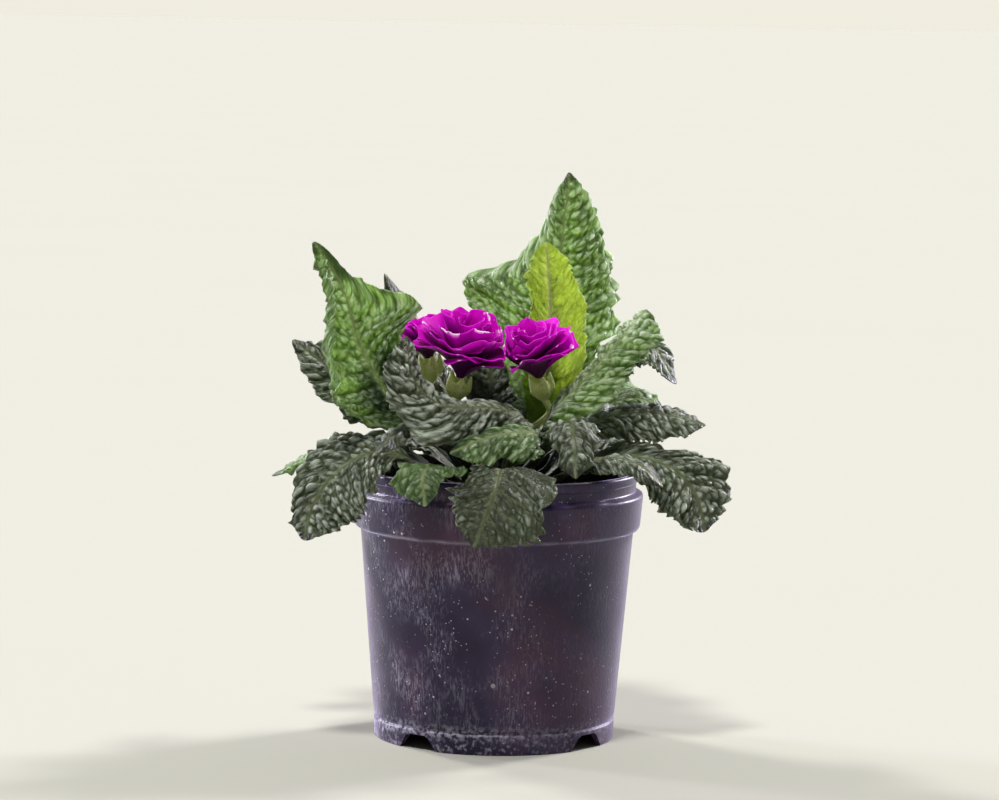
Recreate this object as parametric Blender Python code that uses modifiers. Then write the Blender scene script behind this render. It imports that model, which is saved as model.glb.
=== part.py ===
# Potted primrose: a double-flowered primrose in a round plastic nursery pot.
# Z is up, the pot stands on z = 0 and its axis is the Z axis; -Y is the front.
# Lengths are in millimetres until millimetre() or MM turns them into metres.

import math

import bmesh
import bpy
import numpy as np
from mathutils import Matrix, Vector

MM = 0.001
GAP = 0.3  # running clearance between touching pieces

# Pot
POT_HEIGHT = 97.0
POT_SEGMENTS = 40
WALL = 1.3
FOOT_RADIUS = 43.3
FOOT_HEIGHT = 7.0
FOOT_WALL = 2.2
BODY_FOOT_RADIUS = 43.6
BODY_TOP_RADIUS = 49.2
BAND_LOW = 75.6
BAND_HIGH = 89.4
BAND_RADIUS = 52.5
NECK_RADIUS = 49.9
LIP_RADIUS = 50.9
LIP_LOW = 93.4
FLOOR_LOW = 5.9
NOTCHES = 4
NOTCH_FIRST_DEG = -84.0
NOTCH_HEIGHT = 5.4
NOTCH_LOW_WIDTH = 19.0
NOTCH_HIGH_WIDTH = 9.0
DRAIN_RADIUS = 3.6
DRAIN_CIRCLE = 33.0

# Compost and crown
SOIL_LEVEL = 86.5
SOIL_SEGMENTS = 22
CROWN_RADIUS = 11.5
CROWN_CENTRE = 89.0
CROWN_DEPTH = 14.0
CROWN_SEGMENTS = 18

# Leaves
BLADE = 0.75  # thickness of the blade
MIDRIB = 2.3  # thickness of the leaf stalk at its root
STALK_HALF_WIDTH = 2.1
LEAF_COLUMNS = 6
VEIN_SWEEP = 0.55  # how far the side veins run forward on their way to the edge
TOOTH = 0.035  # depth of the teeth as a share of the half width
PUCKER = 0.85  # height of the ribs between the side veins

# Blooms
PETAL = 0.7  # thickness of a petal
PETAL_ROWS = 3
PETAL_COLUMNS = 4
PRESS = 5.0  # how far from the meeting plane two pressed blooms start to give way
TUBE_LENGTH = 7.0
TUBE_FOOT_RADIUS = 1.9
TUBE_MOUTH_RADIUS = 3.0
CALYX_WALL = 0.9
CALYX_BASE = 2.5  # solid part below the tube
CALYX_TEETH = 1.6
CALYX_RIBS = 0.1  # depth of its five ribs as a share of its radius
CALYX_MOUTH = -2.4  # height of the calyx's rim, from the eye
CALYX_SIDES = 10
CALYX_PLAY = 0.15  # the flats of the ten-sided bore come closer than its corners
FLOWER_STALK_RADIUS = 1.25

COLOURS = {
    "pot_plastic": ((0.035, 0.026, 0.036), 0.45),
    "compost": ((0.035, 0.022, 0.014), 0.95),
    "crown": ((0.20, 0.17, 0.07), 0.8),
    "leaf_dark": ((0.045, 0.085, 0.03), 0.45),
    "leaf_green": ((0.07, 0.16, 0.035), 0.45),
    "leaf_young": ((0.30, 0.45, 0.04), 0.5),
    "petal": ((0.32, 0.01, 0.36), 0.55),
    "flower_stalk": ((0.22, 0.30, 0.08), 0.55),
}

def plain(width, roll, blunt=0.55):
    """Half of an ordinary blade: stalk, broad middle and tip."""
    return [
        (0.2, STALK_HALF_WIDTH, 0), (0.42, 0.62 * width, 0.4 * roll), (0.62, width, roll),
        (0.8, 0.9 * width, roll), (0.93, blunt * width, roll), (1.0, 0.2 * width, 0.6 * roll),
    ]


# Each leaf: where its stalk leaves the crown (azimuth, elevation in degrees), the
# points its midrib then passes, a turn about the midrib in degrees, how steeply its
# two halves rise from the midrib (cup), how deep its edge is waved (ruffle), and for
# each half a list of places along the leaf with the half width and the roll there.
# Seen from the root with the upper face up, "left" is the half with w < 0.
LEAVES = {
    "leaf_rear_tall": dict(
        root=(72, 56), path=[(10, 18, 118), (17, 27, 144), (21, 30, 170), (24, 25, 203)],
        turn=-4, cup=10, ruffle=1.0, rows=17, kind="leaf_green",
        left=[(0.12, 3, 0), (0.28, 20, 0), (0.5, 27, -15), (0.6, 38, -10), (0.68, 20, -50),
              (0.8, 10, -110), (0.92, 6, -110), (1, 3, -110)],
        right=[(0.15, 2, 0), (0.31, 15, -30), (0.5, 26, -80), (0.7, 25, -110), (0.8, 19, -110),
               (0.92, 10, -100), (1, 4, -100)],
    ),
    "leaf_rear_young": dict(
        root=(55, 74), path=[(13, 9, 114), (18, 13, 134), (18, 15, 152), (16, 13, 178)],
        turn=-30, cup=14, ruffle=0.8, rows=13, kind="leaf_young",
        left=[(0.2, 2, 0), (0.45, 10, 30), (0.7, 9, 40), (0.9, 7, 20), (1, 4, 0)],
        right=[(0.2, 2, 0), (0.5, 15, 10), (0.68, 14, 20), (0.85, 11, 10), (1, 4, 0)],
    ),
    "leaf_left_tall": dict(
        root=(172, 44),
        path=[(-24, -1, 108), (-38, -3, 121), (-50, -5, 141), (-56, -6, 160), (-67, -8, 178)],
        turn=70, cup=6, ruffle=1.4, rows=17, kind="leaf_green",
        left=[(0.2, 2, 0), (0.3, 8, 30), (0.38, 19, 70), (0.5, 34, 90), (0.62, 28, 110),
              (0.75, 19, 120), (0.88, 10, 110), (1, 3, 60)],
        right=[(0.2, 2, 0), (0.36, 10, 30), (0.52, 17, 100), (0.62, 20, 70), (0.7, 28, 20),
               (0.77, 10, 20), (0.84, 4, 20), (1, 2, 0)],
    ),
    "leaf_right_roll": dict(
        root=(-28, 52),
        path=[(14, -11, 110), (20, -16, 121), (31, -17, 132), (44, -13, 147), (52, -9, 156)],
        turn=-50, cup=0, ruffle=0.8, rows=12, kind="leaf_green",
        left=[(0.2, 2, 0), (0.35, 5, -60), (0.6, 13, -95), (0.9, 14, -80), (1, 9, -50)],
        right=[(0.2, 2, 0), (0.35, 9, -60), (0.6, 14, -95), (0.9, 14, -80), (1, 9, -50)],
    ),
    "leaf_right_hook": dict(
        root=(10, 44), path=[(22, 3, 113), (34, 8, 127), (45, 11, 139), (56, 10, 140), (64, 7, 128)],
        turn=-20, cup=0, ruffle=0.9, rows=10, kind="leaf_dark",
        left=plain(10, -30), right=plain(11, -25),
    ),
    "leaf_right_back": dict(
        root=(38, 30), path=[(22, 15, 106), (36, 21, 117), (50, 25, 121), (61, 26, 115)],
        turn=-20, cup=4, ruffle=0.9, rows=10, kind="leaf_green",
        left=plain(12, -30), right=plain(13, -30),
    ),
    "leaf_right_level": dict(
        root=(-4, 28), path=[(22, -2, 106), (37, -4, 116), (55, -7, 119), (74, -10, 115)],
        turn=-25, cup=0, ruffle=1.0, rows=12, kind="leaf_dark",
        left=plain(10, -60), right=plain(13, -60),
    ),
    "leaf_right_low": dict(
        root=(-16, 10),
        path=[(30, -11, 101), (48, -18, 104.5), (63, -22, 100), (71, -23, 90), (74, -22, 78)],
        turn=-35, cup=4, ruffle=1.6, rows=15, kind="leaf_dark",
        left=[(0.2, 2, 0), (0.42, 4, 0), (0.62, 8, -10), (0.8, 18, -10), (0.92, 13, -10),
              (1, 6, 0)],
        right=[(0.2, 2, 0), (0.42, 5, 0), (0.62, 15, -20), (0.8, 18, -30), (0.92, 12, -20),
               (1, 6, 0)],
    ),
    "leaf_front_right_low": dict(
        root=(-42, 12), path=[(27, -20, 100), (40, -29, 105), (50, -35, 103), (58, -39, 96)],
        turn=-15, cup=0, ruffle=0.8, rows=10, kind="leaf_dark",
        left=plain(7, -60), right=plain(9, -70),
    ),
    "leaf_front_right": dict(
        root=(-48, 32), path=[(18, -20, 109), (24, -33, 118), (26, -45, 114), (27, -53, 100)],
        turn=0, cup=0, ruffle=1.0, rows=12, kind="leaf_dark",
        left=plain(10, -60), right=plain(10, -60),
    ),
    "leaf_front_upper": dict(
        root=(-75, 56),
        path=[(7, -15, 111), (9, -22, 118), (-3, -28, 122), (-20, -32, 123), (-30, -33, 132),
              (-33, -33, 147)],
        turn=80, cup=0, ruffle=1.0, rows=15, kind="leaf_dark",
        left=[(0.2, 2, 0), (0.36, 10, -60), (0.55, 15, -80), (0.75, 16, -80), (0.9, 13, -60),
              (1, 6, -30)],
        right=[(0.2, 2, 0), (0.36, 6, -60), (0.55, 8, -80), (0.75, 11, -60), (0.9, 10, -40),
               (1, 5, -30)],
    ),
    "leaf_front_middle": dict(
        root=(-80, 28),
        path=[(5, -24, 103.5), (14, -33, 110), (11, -38, 114.5), (-3, -42, 113), (-17, -43, 107)],
        turn=80, cup=0, ruffle=0.6, rows=12, kind="leaf_green",
        left=[(0.2, 2, 0), (0.42, 6, -50), (0.6, 12, -60), (0.8, 11, -60), (0.93, 6, -40),
              (1, 3, -20)],
        right=[(0.2, 2, 0), (0.42, 4, -60), (0.6, 6, -60), (0.8, 6, -50), (0.93, 5, -30),
               (1, 2, -20)],
    ),
    "leaf_front_low": dict(
        root=(-90, 10), path=[(2, -34, 99), (1, -51, 102.5), (-2, -60, 93), (-8, -59, 76)],
        turn=0, cup=0, ruffle=1.3, rows=15, kind="leaf_dark",
        left=[(0.2, 2, 0), (0.42, 7, 0), (0.62, 19, -15), (0.77, 22, -20), (0.88, 18, -15),
              (0.95, 8, -10), (1, 3, 0)],
        right=[(0.2, 2, 0), (0.42, 4, 0), (0.62, 13, -10), (0.77, 15, -20), (0.88, 14, -15),
               (0.95, 8, -10), (1, 3, 0)],
    ),
    "leaf_front_left_low": dict(
        root=(-118, 10), path=[(-13, -25, 99), (-21, -42, 102), (-26, -52, 101), (-25, -58, 90)],
        turn=0, cup=0, ruffle=1.2, rows=12, kind="leaf_green",
        left=plain(9, -20), right=plain(12, -20),
    ),
    "leaf_left_low": dict(
        root=(-156, 10),
        path=[(-28, -13, 100), (-43, -20, 104.5), (-56, -27, 99), (-65, -31, 87), (-68, -33, 74)],
        turn=35, cup=4, ruffle=1.5, rows=14, kind="leaf_dark",
        left=[(0.2, 2, 0), (0.42, 7, 0), (0.62, 15, -20), (0.78, 20, -25), (0.92, 13, -20),
              (1, 5, 0)],
        right=[(0.2, 2, 0), (0.4, 8, 0), (0.58, 15, -20), (0.75, 13, -20), (0.9, 8, -10),
               (1, 4, 0)],
    ),
    "leaf_left_small": dict(
        root=(-130, 33), path=[(-17, -17, 107), (-27, -27, 114), (-36, -35, 113), (-43, -40, 106)],
        turn=10, cup=0, ruffle=0.8, rows=10, kind="leaf_dark",
        left=plain(8, -50), right=plain(8, -50),
    ),
    "leaf_left_inner": dict(
        root=(-160, 36), path=[(-20, -8, 108), (-31, -13, 116), (-40, -18, 127)],
        turn=20, cup=5, ruffle=0.8, rows=10, kind="leaf_green",
        left=plain(7, -30), right=plain(6, -40),
    ),
    "leaf_left_out": dict(
        root=(178, 10), path=[(-30, 3, 100), (-56, 8, 103), (-82, 8, 92)],
        turn=15, cup=4, ruffle=1.2, rows=10, kind="leaf_green",
        left=plain(10, -20), right=plain(12, -30),
    ),
    "leaf_left_rear": dict(
        root=(150, 28), path=[(-26, 16, 107), (-50, 22, 122), (-76, 24, 140)],
        turn=30, cup=6, ruffle=1.2, rows=10, kind="leaf_dark",
        left=plain(14, -30, 0.4), right=plain(14, -50, 0.4),
    ),
    "leaf_rear_left": dict(
        root=(124, 52), path=[(-14, 20, 114), (-25, 31, 132), (-35, 36, 148), (-43, 38, 164)],
        turn=0, cup=6, ruffle=1.0, rows=10, kind="leaf_dark",
        left=plain(9, -80, 0.4), right=plain(9, -80, 0.4),
    ),
    "leaf_back_a": dict(
        root=(34, 10), path=[(27, 17, 101), (45, 27, 105), (62, 38, 92)],
        turn=0, cup=4, ruffle=1.2, rows=8, kind="leaf_dark",
        left=plain(20, -40), right=plain(20, -35),
    ),
    "leaf_back_b": dict(
        root=(66, 28), path=[(15, 27, 107), (24, 44, 117), (34, 60, 112)],
        turn=0, cup=4, ruffle=1.2, rows=8, kind="leaf_green",
        left=plain(20, -45), right=plain(20, -50),
    ),
    "leaf_back_c": dict(
        root=(88, 10), path=[(0, 32, 101), (-1, 50, 105), (-2, 66, 91)],
        turn=0, cup=4, ruffle=1.2, rows=8, kind="leaf_dark",
        left=plain(21, -40), right=plain(21, -40),
    ),
    "leaf_back_d": dict(
        root=(136, 10), path=[(-24, 24, 101), (-40, 37, 105), (-54, 50, 92)],
        turn=0, cup=4, ruffle=1.2, rows=8, kind="leaf_dark",
        left=plain(20, -40), right=plain(20, -40),
    ),
    "leaf_back_e": dict(
        root=(104, 66), path=[(-2, 9, 111), (-3, 12, 122), (-3, 15, 135)],
        turn=0, cup=0, ruffle=0.6, rows=8, kind="leaf_dark",
        left=[(0.2, 2, 0), (0.45, 6, -20), (0.6, 9.5, -20), (0.88, 9.5, -20), (1, 4, -10)],
        right=plain(10, -20),
    ),
}

# Each bloom: the middle of its eye, the way it faces, its radius, where its stalk
# leaves the crown, and the neighbours that press on it.
BLOOMS = {
    "bloom_middle": dict(
        eye=(-14, -10.5, 131.5), facing=(0.2, -0.26, 1), radius=21.5, root=(-125, 77),
        neighbours=["bloom_right", "bloom_left"], seed=2,
    ),
    "bloom_right": dict(
        eye=(14, -6, 131.5), facing=(-0.24, -0.26, 1), radius=18.5, root=(-20, 77),
        neighbours=["bloom_middle"], seed=5,
    ),
    "bloom_left": dict(
        eye=(-26, 16, 136), facing=(-0.14, -0.15, 1), radius=13.5, root=(150, 77),
        neighbours=["bloom_middle"], seed=12,
    ),
}

# Whorls of a bloom, outside first: number of petals, length and half width as shares
# of the bloom's radius, and the rise in degrees at the petal's foot and at its edge.
WHORLS = [
    (5, 1.05, 0.96, 62, 14),
    (4, 1.14, 0.95, 68, 34),
    (3, 1.10, 0.80, 84, 66),
]


def clear_scene():
    for obj in list(bpy.data.objects):
        bpy.data.objects.remove(obj)
    for collection in list(bpy.data.collections):
        bpy.data.collections.remove(collection)


def make_collection(name, hidden=False):
    collection = bpy.data.collections.new(name)
    bpy.context.scene.collection.children.link(collection)
    collection.hide_render = hidden
    return collection


def make_materials():
    made = {}
    for name, (colour, roughness) in COLOURS.items():
        material = bpy.data.materials.new(name)
        material.use_nodes = True
        shader = material.node_tree.nodes["Principled BSDF"]
        shader.inputs["Base Color"].default_value = (*colour, 1)
        shader.inputs["Roughness"].default_value = roughness
        shader.inputs["Metallic"].default_value = 0.0
        made[name] = material
    return made


def place(mesh, name, collection, material):
    """A new object from a mesh in millimetres."""
    mesh.transform(Matrix.Scale(MM, 4))
    obj = bpy.data.objects.new(name, mesh)
    mesh.materials.append(material)
    collection.objects.link(obj)
    return obj


def turned(name, profile, segments, collection, material):
    """A solid of revolution from (radius, height) points that run down its outer side."""
    mesh = bpy.data.meshes.new(name)
    points = [(radius, 0, height) for radius, height in profile]
    edges = [(i, i + 1) for i in range(len(points) - 1)]
    mesh.from_pydata(points, edges, [])
    obj = place(mesh, name, collection, material)
    screw = obj.modifiers.new("turn", "SCREW")
    screw.steps = screw.render_steps = segments
    screw.use_merge_vertices = True
    screw.merge_threshold = 0.00005
    screw.use_smooth_shade = True
    return obj


def cut(obj, cutter):
    boolean = obj.modifiers.new(cutter.name, "BOOLEAN")
    boolean.operation = "DIFFERENCE"
    boolean.object = cutter
    boolean.solver = "EXACT"


def apply_modifiers(obj):
    graph = bpy.context.evaluated_depsgraph_get()
    mesh = bpy.data.meshes.new_from_object(obj.evaluated_get(graph))
    old = obj.data
    obj.modifiers.clear()
    obj.data = mesh
    bpy.data.meshes.remove(old)


def make_pot(collection, cutters, material):
    """A thin wall with a floor raised on a foot ring, a broad band and a lip above a neck."""
    floor_top = FLOOR_LOW + WALL
    foot_bore = BODY_FOOT_RADIUS - WALL
    neck_bore = NECK_RADIUS - WALL
    profile = [
        (0, floor_top),
        (foot_bore, floor_top),
        (BODY_TOP_RADIUS - WALL, BAND_LOW),
        (neck_bore, BAND_LOW + 4),
        (neck_bore, POT_HEIGHT),
        (LIP_RADIUS - 0.6, POT_HEIGHT),
        (LIP_RADIUS, POT_HEIGHT - 1.0),
        (LIP_RADIUS, LIP_LOW + 0.6),
        (NECK_RADIUS, LIP_LOW),
        (NECK_RADIUS, BAND_HIGH + 0.5),
        (BAND_RADIUS, BAND_HIGH - 0.5),
        (BAND_RADIUS - 0.9, BAND_LOW + 2.4),
        (BODY_TOP_RADIUS, BAND_LOW),
        (BODY_FOOT_RADIUS, FOOT_HEIGHT + 1.5),
        (FOOT_RADIUS - 0.5, FOOT_HEIGHT + 0.5),
        (FOOT_RADIUS + 0.2, FOOT_HEIGHT - 0.3),
        (FOOT_RADIUS, 0),
        (FOOT_RADIUS - FOOT_WALL, 0),
        (FOOT_RADIUS - FOOT_WALL - 0.2, FLOOR_LOW),
        (0, FLOOR_LOW),
    ]
    pot = turned("pot", profile, POT_SEGMENTS, collection, material)
    for index in range(NOTCHES):
        angle = math.radians(NOTCH_FIRST_DEG - 45 + 360 * index / NOTCHES)
        cut(pot, notch_cutter(index, angle, cutters))
        cut(pot, drain_cutter(index, angle, cutters))
    return pot


def notch_cutter(index, angle, cutters):
    """A wedge that is narrower at its top, through the foot ring only."""
    bm = bmesh.new()
    bmesh.ops.create_cube(bm, size=1)
    for vertex in bm.verts:
        width = NOTCH_HIGH_WIDTH if vertex.co.z > 0 else NOTCH_LOW_WIDTH
        vertex.co.x = FOOT_RADIUS + 10 * vertex.co.x
        vertex.co.y *= width
        vertex.co.z = NOTCH_HEIGHT if vertex.co.z > 0 else -1.0
    return add_cutter(bm, f"notch_{index}", angle, cutters)


def drain_cutter(index, angle, cutters):
    bm = bmesh.new()
    bmesh.ops.create_cone(
        bm, cap_ends=True, segments=12, radius1=DRAIN_RADIUS, radius2=DRAIN_RADIUS,
        depth=8 * WALL, matrix=Matrix.Translation((DRAIN_CIRCLE, 0, FLOOR_LOW)),
    )
    return add_cutter(bm, f"drain_{index}", angle, cutters)


def add_cutter(bm, name, angle, cutters):
    bmesh.ops.recalc_face_normals(bm, faces=bm.faces)
    mesh = bpy.data.meshes.new(name)
    bm.to_mesh(mesh)
    bm.free()
    mesh.transform(Matrix.Scale(MM, 4))
    cutter = bpy.data.objects.new(name, mesh)
    cutter.rotation_euler.z = angle
    cutter.hide_render = True
    cutter.display_type = "WIRE"
    cutters.objects.link(cutter)
    return cutter


def make_soil(collection, material):
    """The root ball: it fills the pot, with a hole for the crown and a rough top."""
    low = FLOOR_LOW + WALL + GAP
    inset = WALL + GAP + 0.2
    profile = [
        (0, SOIL_LEVEL - CROWN_DEPTH - GAP + 2),
        (CROWN_RADIUS + GAP, SOIL_LEVEL - CROWN_DEPTH - GAP + 2),
        (CROWN_RADIUS + GAP, SOIL_LEVEL + 0.6),
        (CROWN_RADIUS + 7, SOIL_LEVEL + 0.8),
        (CROWN_RADIUS + 15, SOIL_LEVEL + 0.2),
        (CROWN_RADIUS + 23, SOIL_LEVEL + 0.6),
        (NECK_RADIUS - inset - 0.2, SOIL_LEVEL - 0.6),
        (NECK_RADIUS - inset - 0.2, BAND_LOW + 4),
        (BODY_TOP_RADIUS - inset, BAND_LOW - 1),
        (BODY_FOOT_RADIUS - inset, low + 1.4),
        (BODY_FOOT_RADIUS - inset - 0.9, low),
        (0, low),
    ]
    soil = turned("compost", profile, SOIL_SEGMENTS, collection, material)
    apply_modifiers(soil)
    for vertex in soil.data.vertices:
        x, y, z = (c / MM for c in vertex.co)
        radius = math.hypot(x, y)
        if z > SOIL_LEVEL - 1 and CROWN_RADIUS + 2 < radius < NECK_RADIUS - 4:
            vertex.co.z += MM * 0.7 * math.sin(0.9 * x + 2) * math.cos(0.8 * y)
    return soil


def make_crown(collection, material):
    """The rootstock: a blunt dome that stands in its hole in the compost."""
    profile = [(0, CROWN_CENTRE + CROWN_RADIUS)]
    steps = 5
    for i in range(1, steps + 1):
        angle = math.radians(90 - 90 * i / steps)
        profile.append(
            (CROWN_RADIUS * math.cos(angle), CROWN_CENTRE + CROWN_RADIUS * math.sin(angle))
        )
    profile += [(CROWN_RADIUS * 0.9, CROWN_CENTRE - CROWN_DEPTH + 4)]
    profile += [(0, CROWN_CENTRE - CROWN_DEPTH + 4)]
    return turned("crown", profile, CROWN_SEGMENTS, collection, material)


def smooth_path(points, count):
    """Evenly spaced points along a smooth curve through the given ones."""
    p = np.array(points, float)
    p = np.vstack([2 * p[0] - p[1], p, 2 * p[-1] - p[-2]])
    t = np.linspace(0, 1, 16, endpoint=False)[:, None]
    pieces = [
        0.5 * (2 * b + (c - a) * t + (2 * a - 5 * b + 4 * c - d) * t**2 + (3 * b - a - 3 * c + d) * t**3)
        for a, b, c, d in zip(p, p[1:], p[2:], p[3:])
    ]
    fine = np.vstack([*pieces, p[-2:-1]])
    run = np.concatenate([[0], np.cumsum(np.linalg.norm(np.diff(fine, axis=0), axis=1))])
    even = np.linspace(0, run[-1], count)
    return np.stack([np.interp(even, run, fine[:, k]) for k in range(3)], axis=1)


def unit(vectors):
    return vectors / np.linalg.norm(vectors, axis=-1, keepdims=True)


def smoothstep(x, low, high):
    x = np.clip((x - low) / (high - low), 0, 1)
    return x * x * (3 - 2 * x)


def crown_direction(root):
    azimuth, elevation = (math.radians(a) for a in root)
    flat = math.cos(elevation)
    return np.array([math.cos(azimuth) * flat, math.sin(azimuth) * flat, math.sin(elevation)])


def from_crown(root, path, reach=7.0):
    """The path of a stalk: it leaves the crown's surface at a right angle."""
    centre = np.array([0, 0, CROWN_CENTRE])
    out = crown_direction(root)
    start = centre + out * (CROWN_RADIUS + GAP)
    return [start, start + out * reach, *path]


def midrib_frame(leaf, count=81):
    """Points along the midrib, with the side and the upper-face direction at each."""
    points = smooth_path(from_crown(leaf["root"], leaf["path"]), count)
    along = unit(np.gradient(points, axis=0))
    azimuth = math.radians(leaf["root"][0])
    side = [np.array([math.sin(azimuth), -math.cos(azimuth), 0])]
    for direction in along:
        side.append(unit(side[-1] - side[-1] @ direction * direction))
    side = np.array(side[1:])
    up = np.cross(side, along)
    t = np.linspace(0, 1, count)
    turn = np.radians(leaf["turn"] * smoothstep(t, 0.05, 0.4))[:, None]
    return t, points, side * np.cos(turn) + up * np.sin(turn), up * np.cos(turn) - side * np.sin(turn)


def profile(knots, t):
    """Half width and roll along the leaf, rounded between their listed values."""
    at, *values = np.array(knots, float).T
    fine = np.linspace(0, 1, 201)
    kernel = np.hanning(23)
    result = []
    for value in values:
        rough = np.pad(np.interp(fine, at, value), 11, mode="edge")
        result.append(np.interp(t, fine, np.convolve(rough, kernel / kernel.sum(), mode="valid")))
    width, roll = result
    return width * np.sqrt(np.clip((1 - t) / 0.06, 0, 1)), np.radians(roll)


def leaf_sheet(leaf, s, w, rows):
    """The blade's upper face. s goes from root to tip, w from -1 to 1 across."""
    t_line, middle, side, up = midrib_frame(leaf)
    span = np.abs(w)
    hand = np.sign(w)
    t = s + VEIN_SWEEP * span**1.3 * s * (1 - s) * smoothstep(s, 0, 0.4)
    (left, left_roll), (right, right_roll) = profile(leaf["left"], t), profile(leaf["right"], t)
    half = np.where(w < 0, left, right) * (1 + TOOTH * span**6 * np.cos(math.pi * rows))
    roll = np.where(w < 0, left_roll, right_roll)
    cup = math.radians(leaf["cup"]) * smoothstep(t, 0.1, 0.4)
    steps = 12
    across = height = 0
    for k in range(steps):
        slope = cup + roll * (span * (k + 0.5) / steps) ** 1.4
        across = across + half * span / steps * np.cos(slope)
        height = height + half * span / steps * np.sin(slope)
    edge_slope = cup + roll * span**1.4
    blade = smoothstep(s, 0.15, 0.4) * smoothstep(1 - s, 0.0, 0.15)
    pucker = PUCKER * blade * np.clip(half / 15, 0, 1) * np.clip(1 - (2 * span - 1.05) ** 2, 0, 1)
    wave = np.sin(2 * math.pi * 2.5 * t + 1.9 * hand + leaf["root"][0])
    out = pucker * np.cos(math.pi * rows) + leaf["ruffle"] * blade * span**3 * wave
    across = across - out * np.sin(edge_slope)
    height = height + out * np.cos(edge_slope)

    def at(line):
        return np.stack([np.interp(np.clip(t, 0, 1), t_line, line[:, k]) for k in range(3)], axis=-1)

    return at(middle) + at(side) * (hand * across)[..., None] + at(up) * height[..., None]


def sheet_mesh(name, points, thick_weights):
    """A triangulated grid with its points set by rows, and the weight of each point."""
    rows, columns = points.shape[:2]
    bm = bmesh.new()
    bmesh.ops.create_grid(bm, x_segments=columns - 1, y_segments=rows - 1, size=0.5)
    layer = bm.verts.layers.deform.verify()
    for vertex in bm.verts:
        column = round((vertex.co.x + 0.5) * (columns - 1))
        row = round((vertex.co.y + 0.5) * (rows - 1))
        vertex.co = points[row, column]
        vertex[layer][0] = float(thick_weights[row, column])
    bmesh.ops.remove_doubles(bm, verts=bm.verts, dist=0.02)
    bmesh.ops.triangulate(bm, faces=bm.faces, quad_method="SHORT_EDGE")
    mesh = bpy.data.meshes.new(name)
    bm.to_mesh(mesh)
    bm.free()
    mesh.shade_smooth()
    return mesh


def thicken(obj, full, thin, offset):
    """Solidify that is full thickness where the weight is 1, and thin where it is 0."""
    obj.vertex_groups.new(name="thick")
    solid = obj.modifiers.new("thickness", "SOLIDIFY")
    solid.thickness = full * MM
    solid.offset = offset
    solid.vertex_group = "thick"
    solid.thickness_vertex_group = thin / full
    solid.use_even_offset = False


def make_leaf(name, leaf, collection, material):
    count = leaf["rows"]
    rows, w = np.meshgrid(np.arange(count + 1), np.linspace(-1, 1, LEAF_COLUMNS + 1), indexing="ij")
    s = (rows / count) ** 0.92
    weights = np.where(w == 0, (1 - s) ** 0.8, 0) + (1 - smoothstep(s, 0.1, 0.3)) * 0.6
    mesh = sheet_mesh(name, leaf_sheet(leaf, s, w, rows), weights.clip(0, 1))
    obj = place(mesh, name, collection, material)
    thicken(obj, MIDRIB, BLADE, offset=-1)
    return obj


def bloom_frame(bloom):
    """The eye, and the directions across (two) and out of the bloom."""
    out = unit(np.array(bloom["facing"], float))
    first = unit(np.cross([0, 1, 0], out))
    return np.array(bloom["eye"], float), first, np.cross(out, first), out


def press(points, bloom):
    """Where a neighbour presses, points give way and stay on their own side."""
    eye = np.array(bloom["eye"], float)
    rest = PETAL / 2 + GAP
    for name in bloom["neighbours"]:
        other = BLOOMS[name]
        towards = np.array(other["eye"], float) - eye
        reach = np.linalg.norm(towards)
        towards = towards / reach
        meeting = reach * bloom["radius"] / (bloom["radius"] + other["radius"])
        beyond = (points - eye) @ towards - meeting
        room = PRESS - rest
        given = np.where(beyond > -PRESS, -rest - room * np.exp(-(beyond + PRESS) / room), beyond)
        points = points + (given - beyond)[..., None] * towards
    return points


def petal_sheet(bloom, whorl, turn, draw):
    """The middle surface of one petal: notched, waved and curved round the axis."""
    _, length, width, rise_foot, rise_edge = whorl
    s, w = np.meshgrid(
        np.linspace(0, 1, PETAL_ROWS + 1), np.linspace(-1, 1, PETAL_COLUMNS + 1), indexing="ij"
    )
    radius = bloom["radius"]
    wave = draw.uniform(0, 2 * math.pi)
    notch = 1 - 0.08 * np.exp(-((w / 0.3) ** 2)) - 0.1 * np.abs(w) ** 3
    run = s * length * radius * notch
    rise = np.radians(rise_foot + (rise_edge - rise_foot) * s / 2 + draw.uniform(-5, 5))
    out = 1.2 + run * np.cos(rise)
    up = -0.8 + run * np.sin(rise)
    frill = s**2 * (1.5 * np.sin(3.6 * w + wave) + 0.6 * np.sin(8 * w + 2 * wave))
    up = up + frill * np.cos(rise)
    out = out - frill * np.sin(rise)
    half = width * radius * np.sin(np.clip(0.25 + 1.5 * s, 0, 1.5))
    angle = turn + w * half / (np.abs(out) + 0.2 * radius)
    lift = 0.09 * radius * w * s  # one edge over the neighbour, the other under
    eye, first, second, axis = bloom_frame(bloom)
    points = (
        eye
        + (out * np.cos(angle))[..., None] * first
        + (out * np.sin(angle))[..., None] * second
        + (up + lift)[..., None] * axis
    )
    return press(points, bloom)


def shells(bm):
    """The closed surfaces of a mesh, as lists of faces."""
    waiting = set(bm.faces)
    while waiting:
        edge_of_search = [waiting.pop()]
        shell = []
        while edge_of_search:
            face = edge_of_search.pop()
            shell.append(face)
            near = {other for edge in face.edges for other in edge.link_faces} & waiting
            waiting -= near
            edge_of_search += near
        yield shell


def fill_pockets(mesh):
    """Closed pockets inside a body become solid: only its outer surface stays."""
    bm = bmesh.new()
    bm.from_mesh(mesh)
    *inner, _ = sorted(shells(bm), key=len)
    bmesh.ops.delete(bm, geom=[face for shell in inner for face in shell], context="FACES")
    bm.to_mesh(mesh)
    bm.free()


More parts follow.
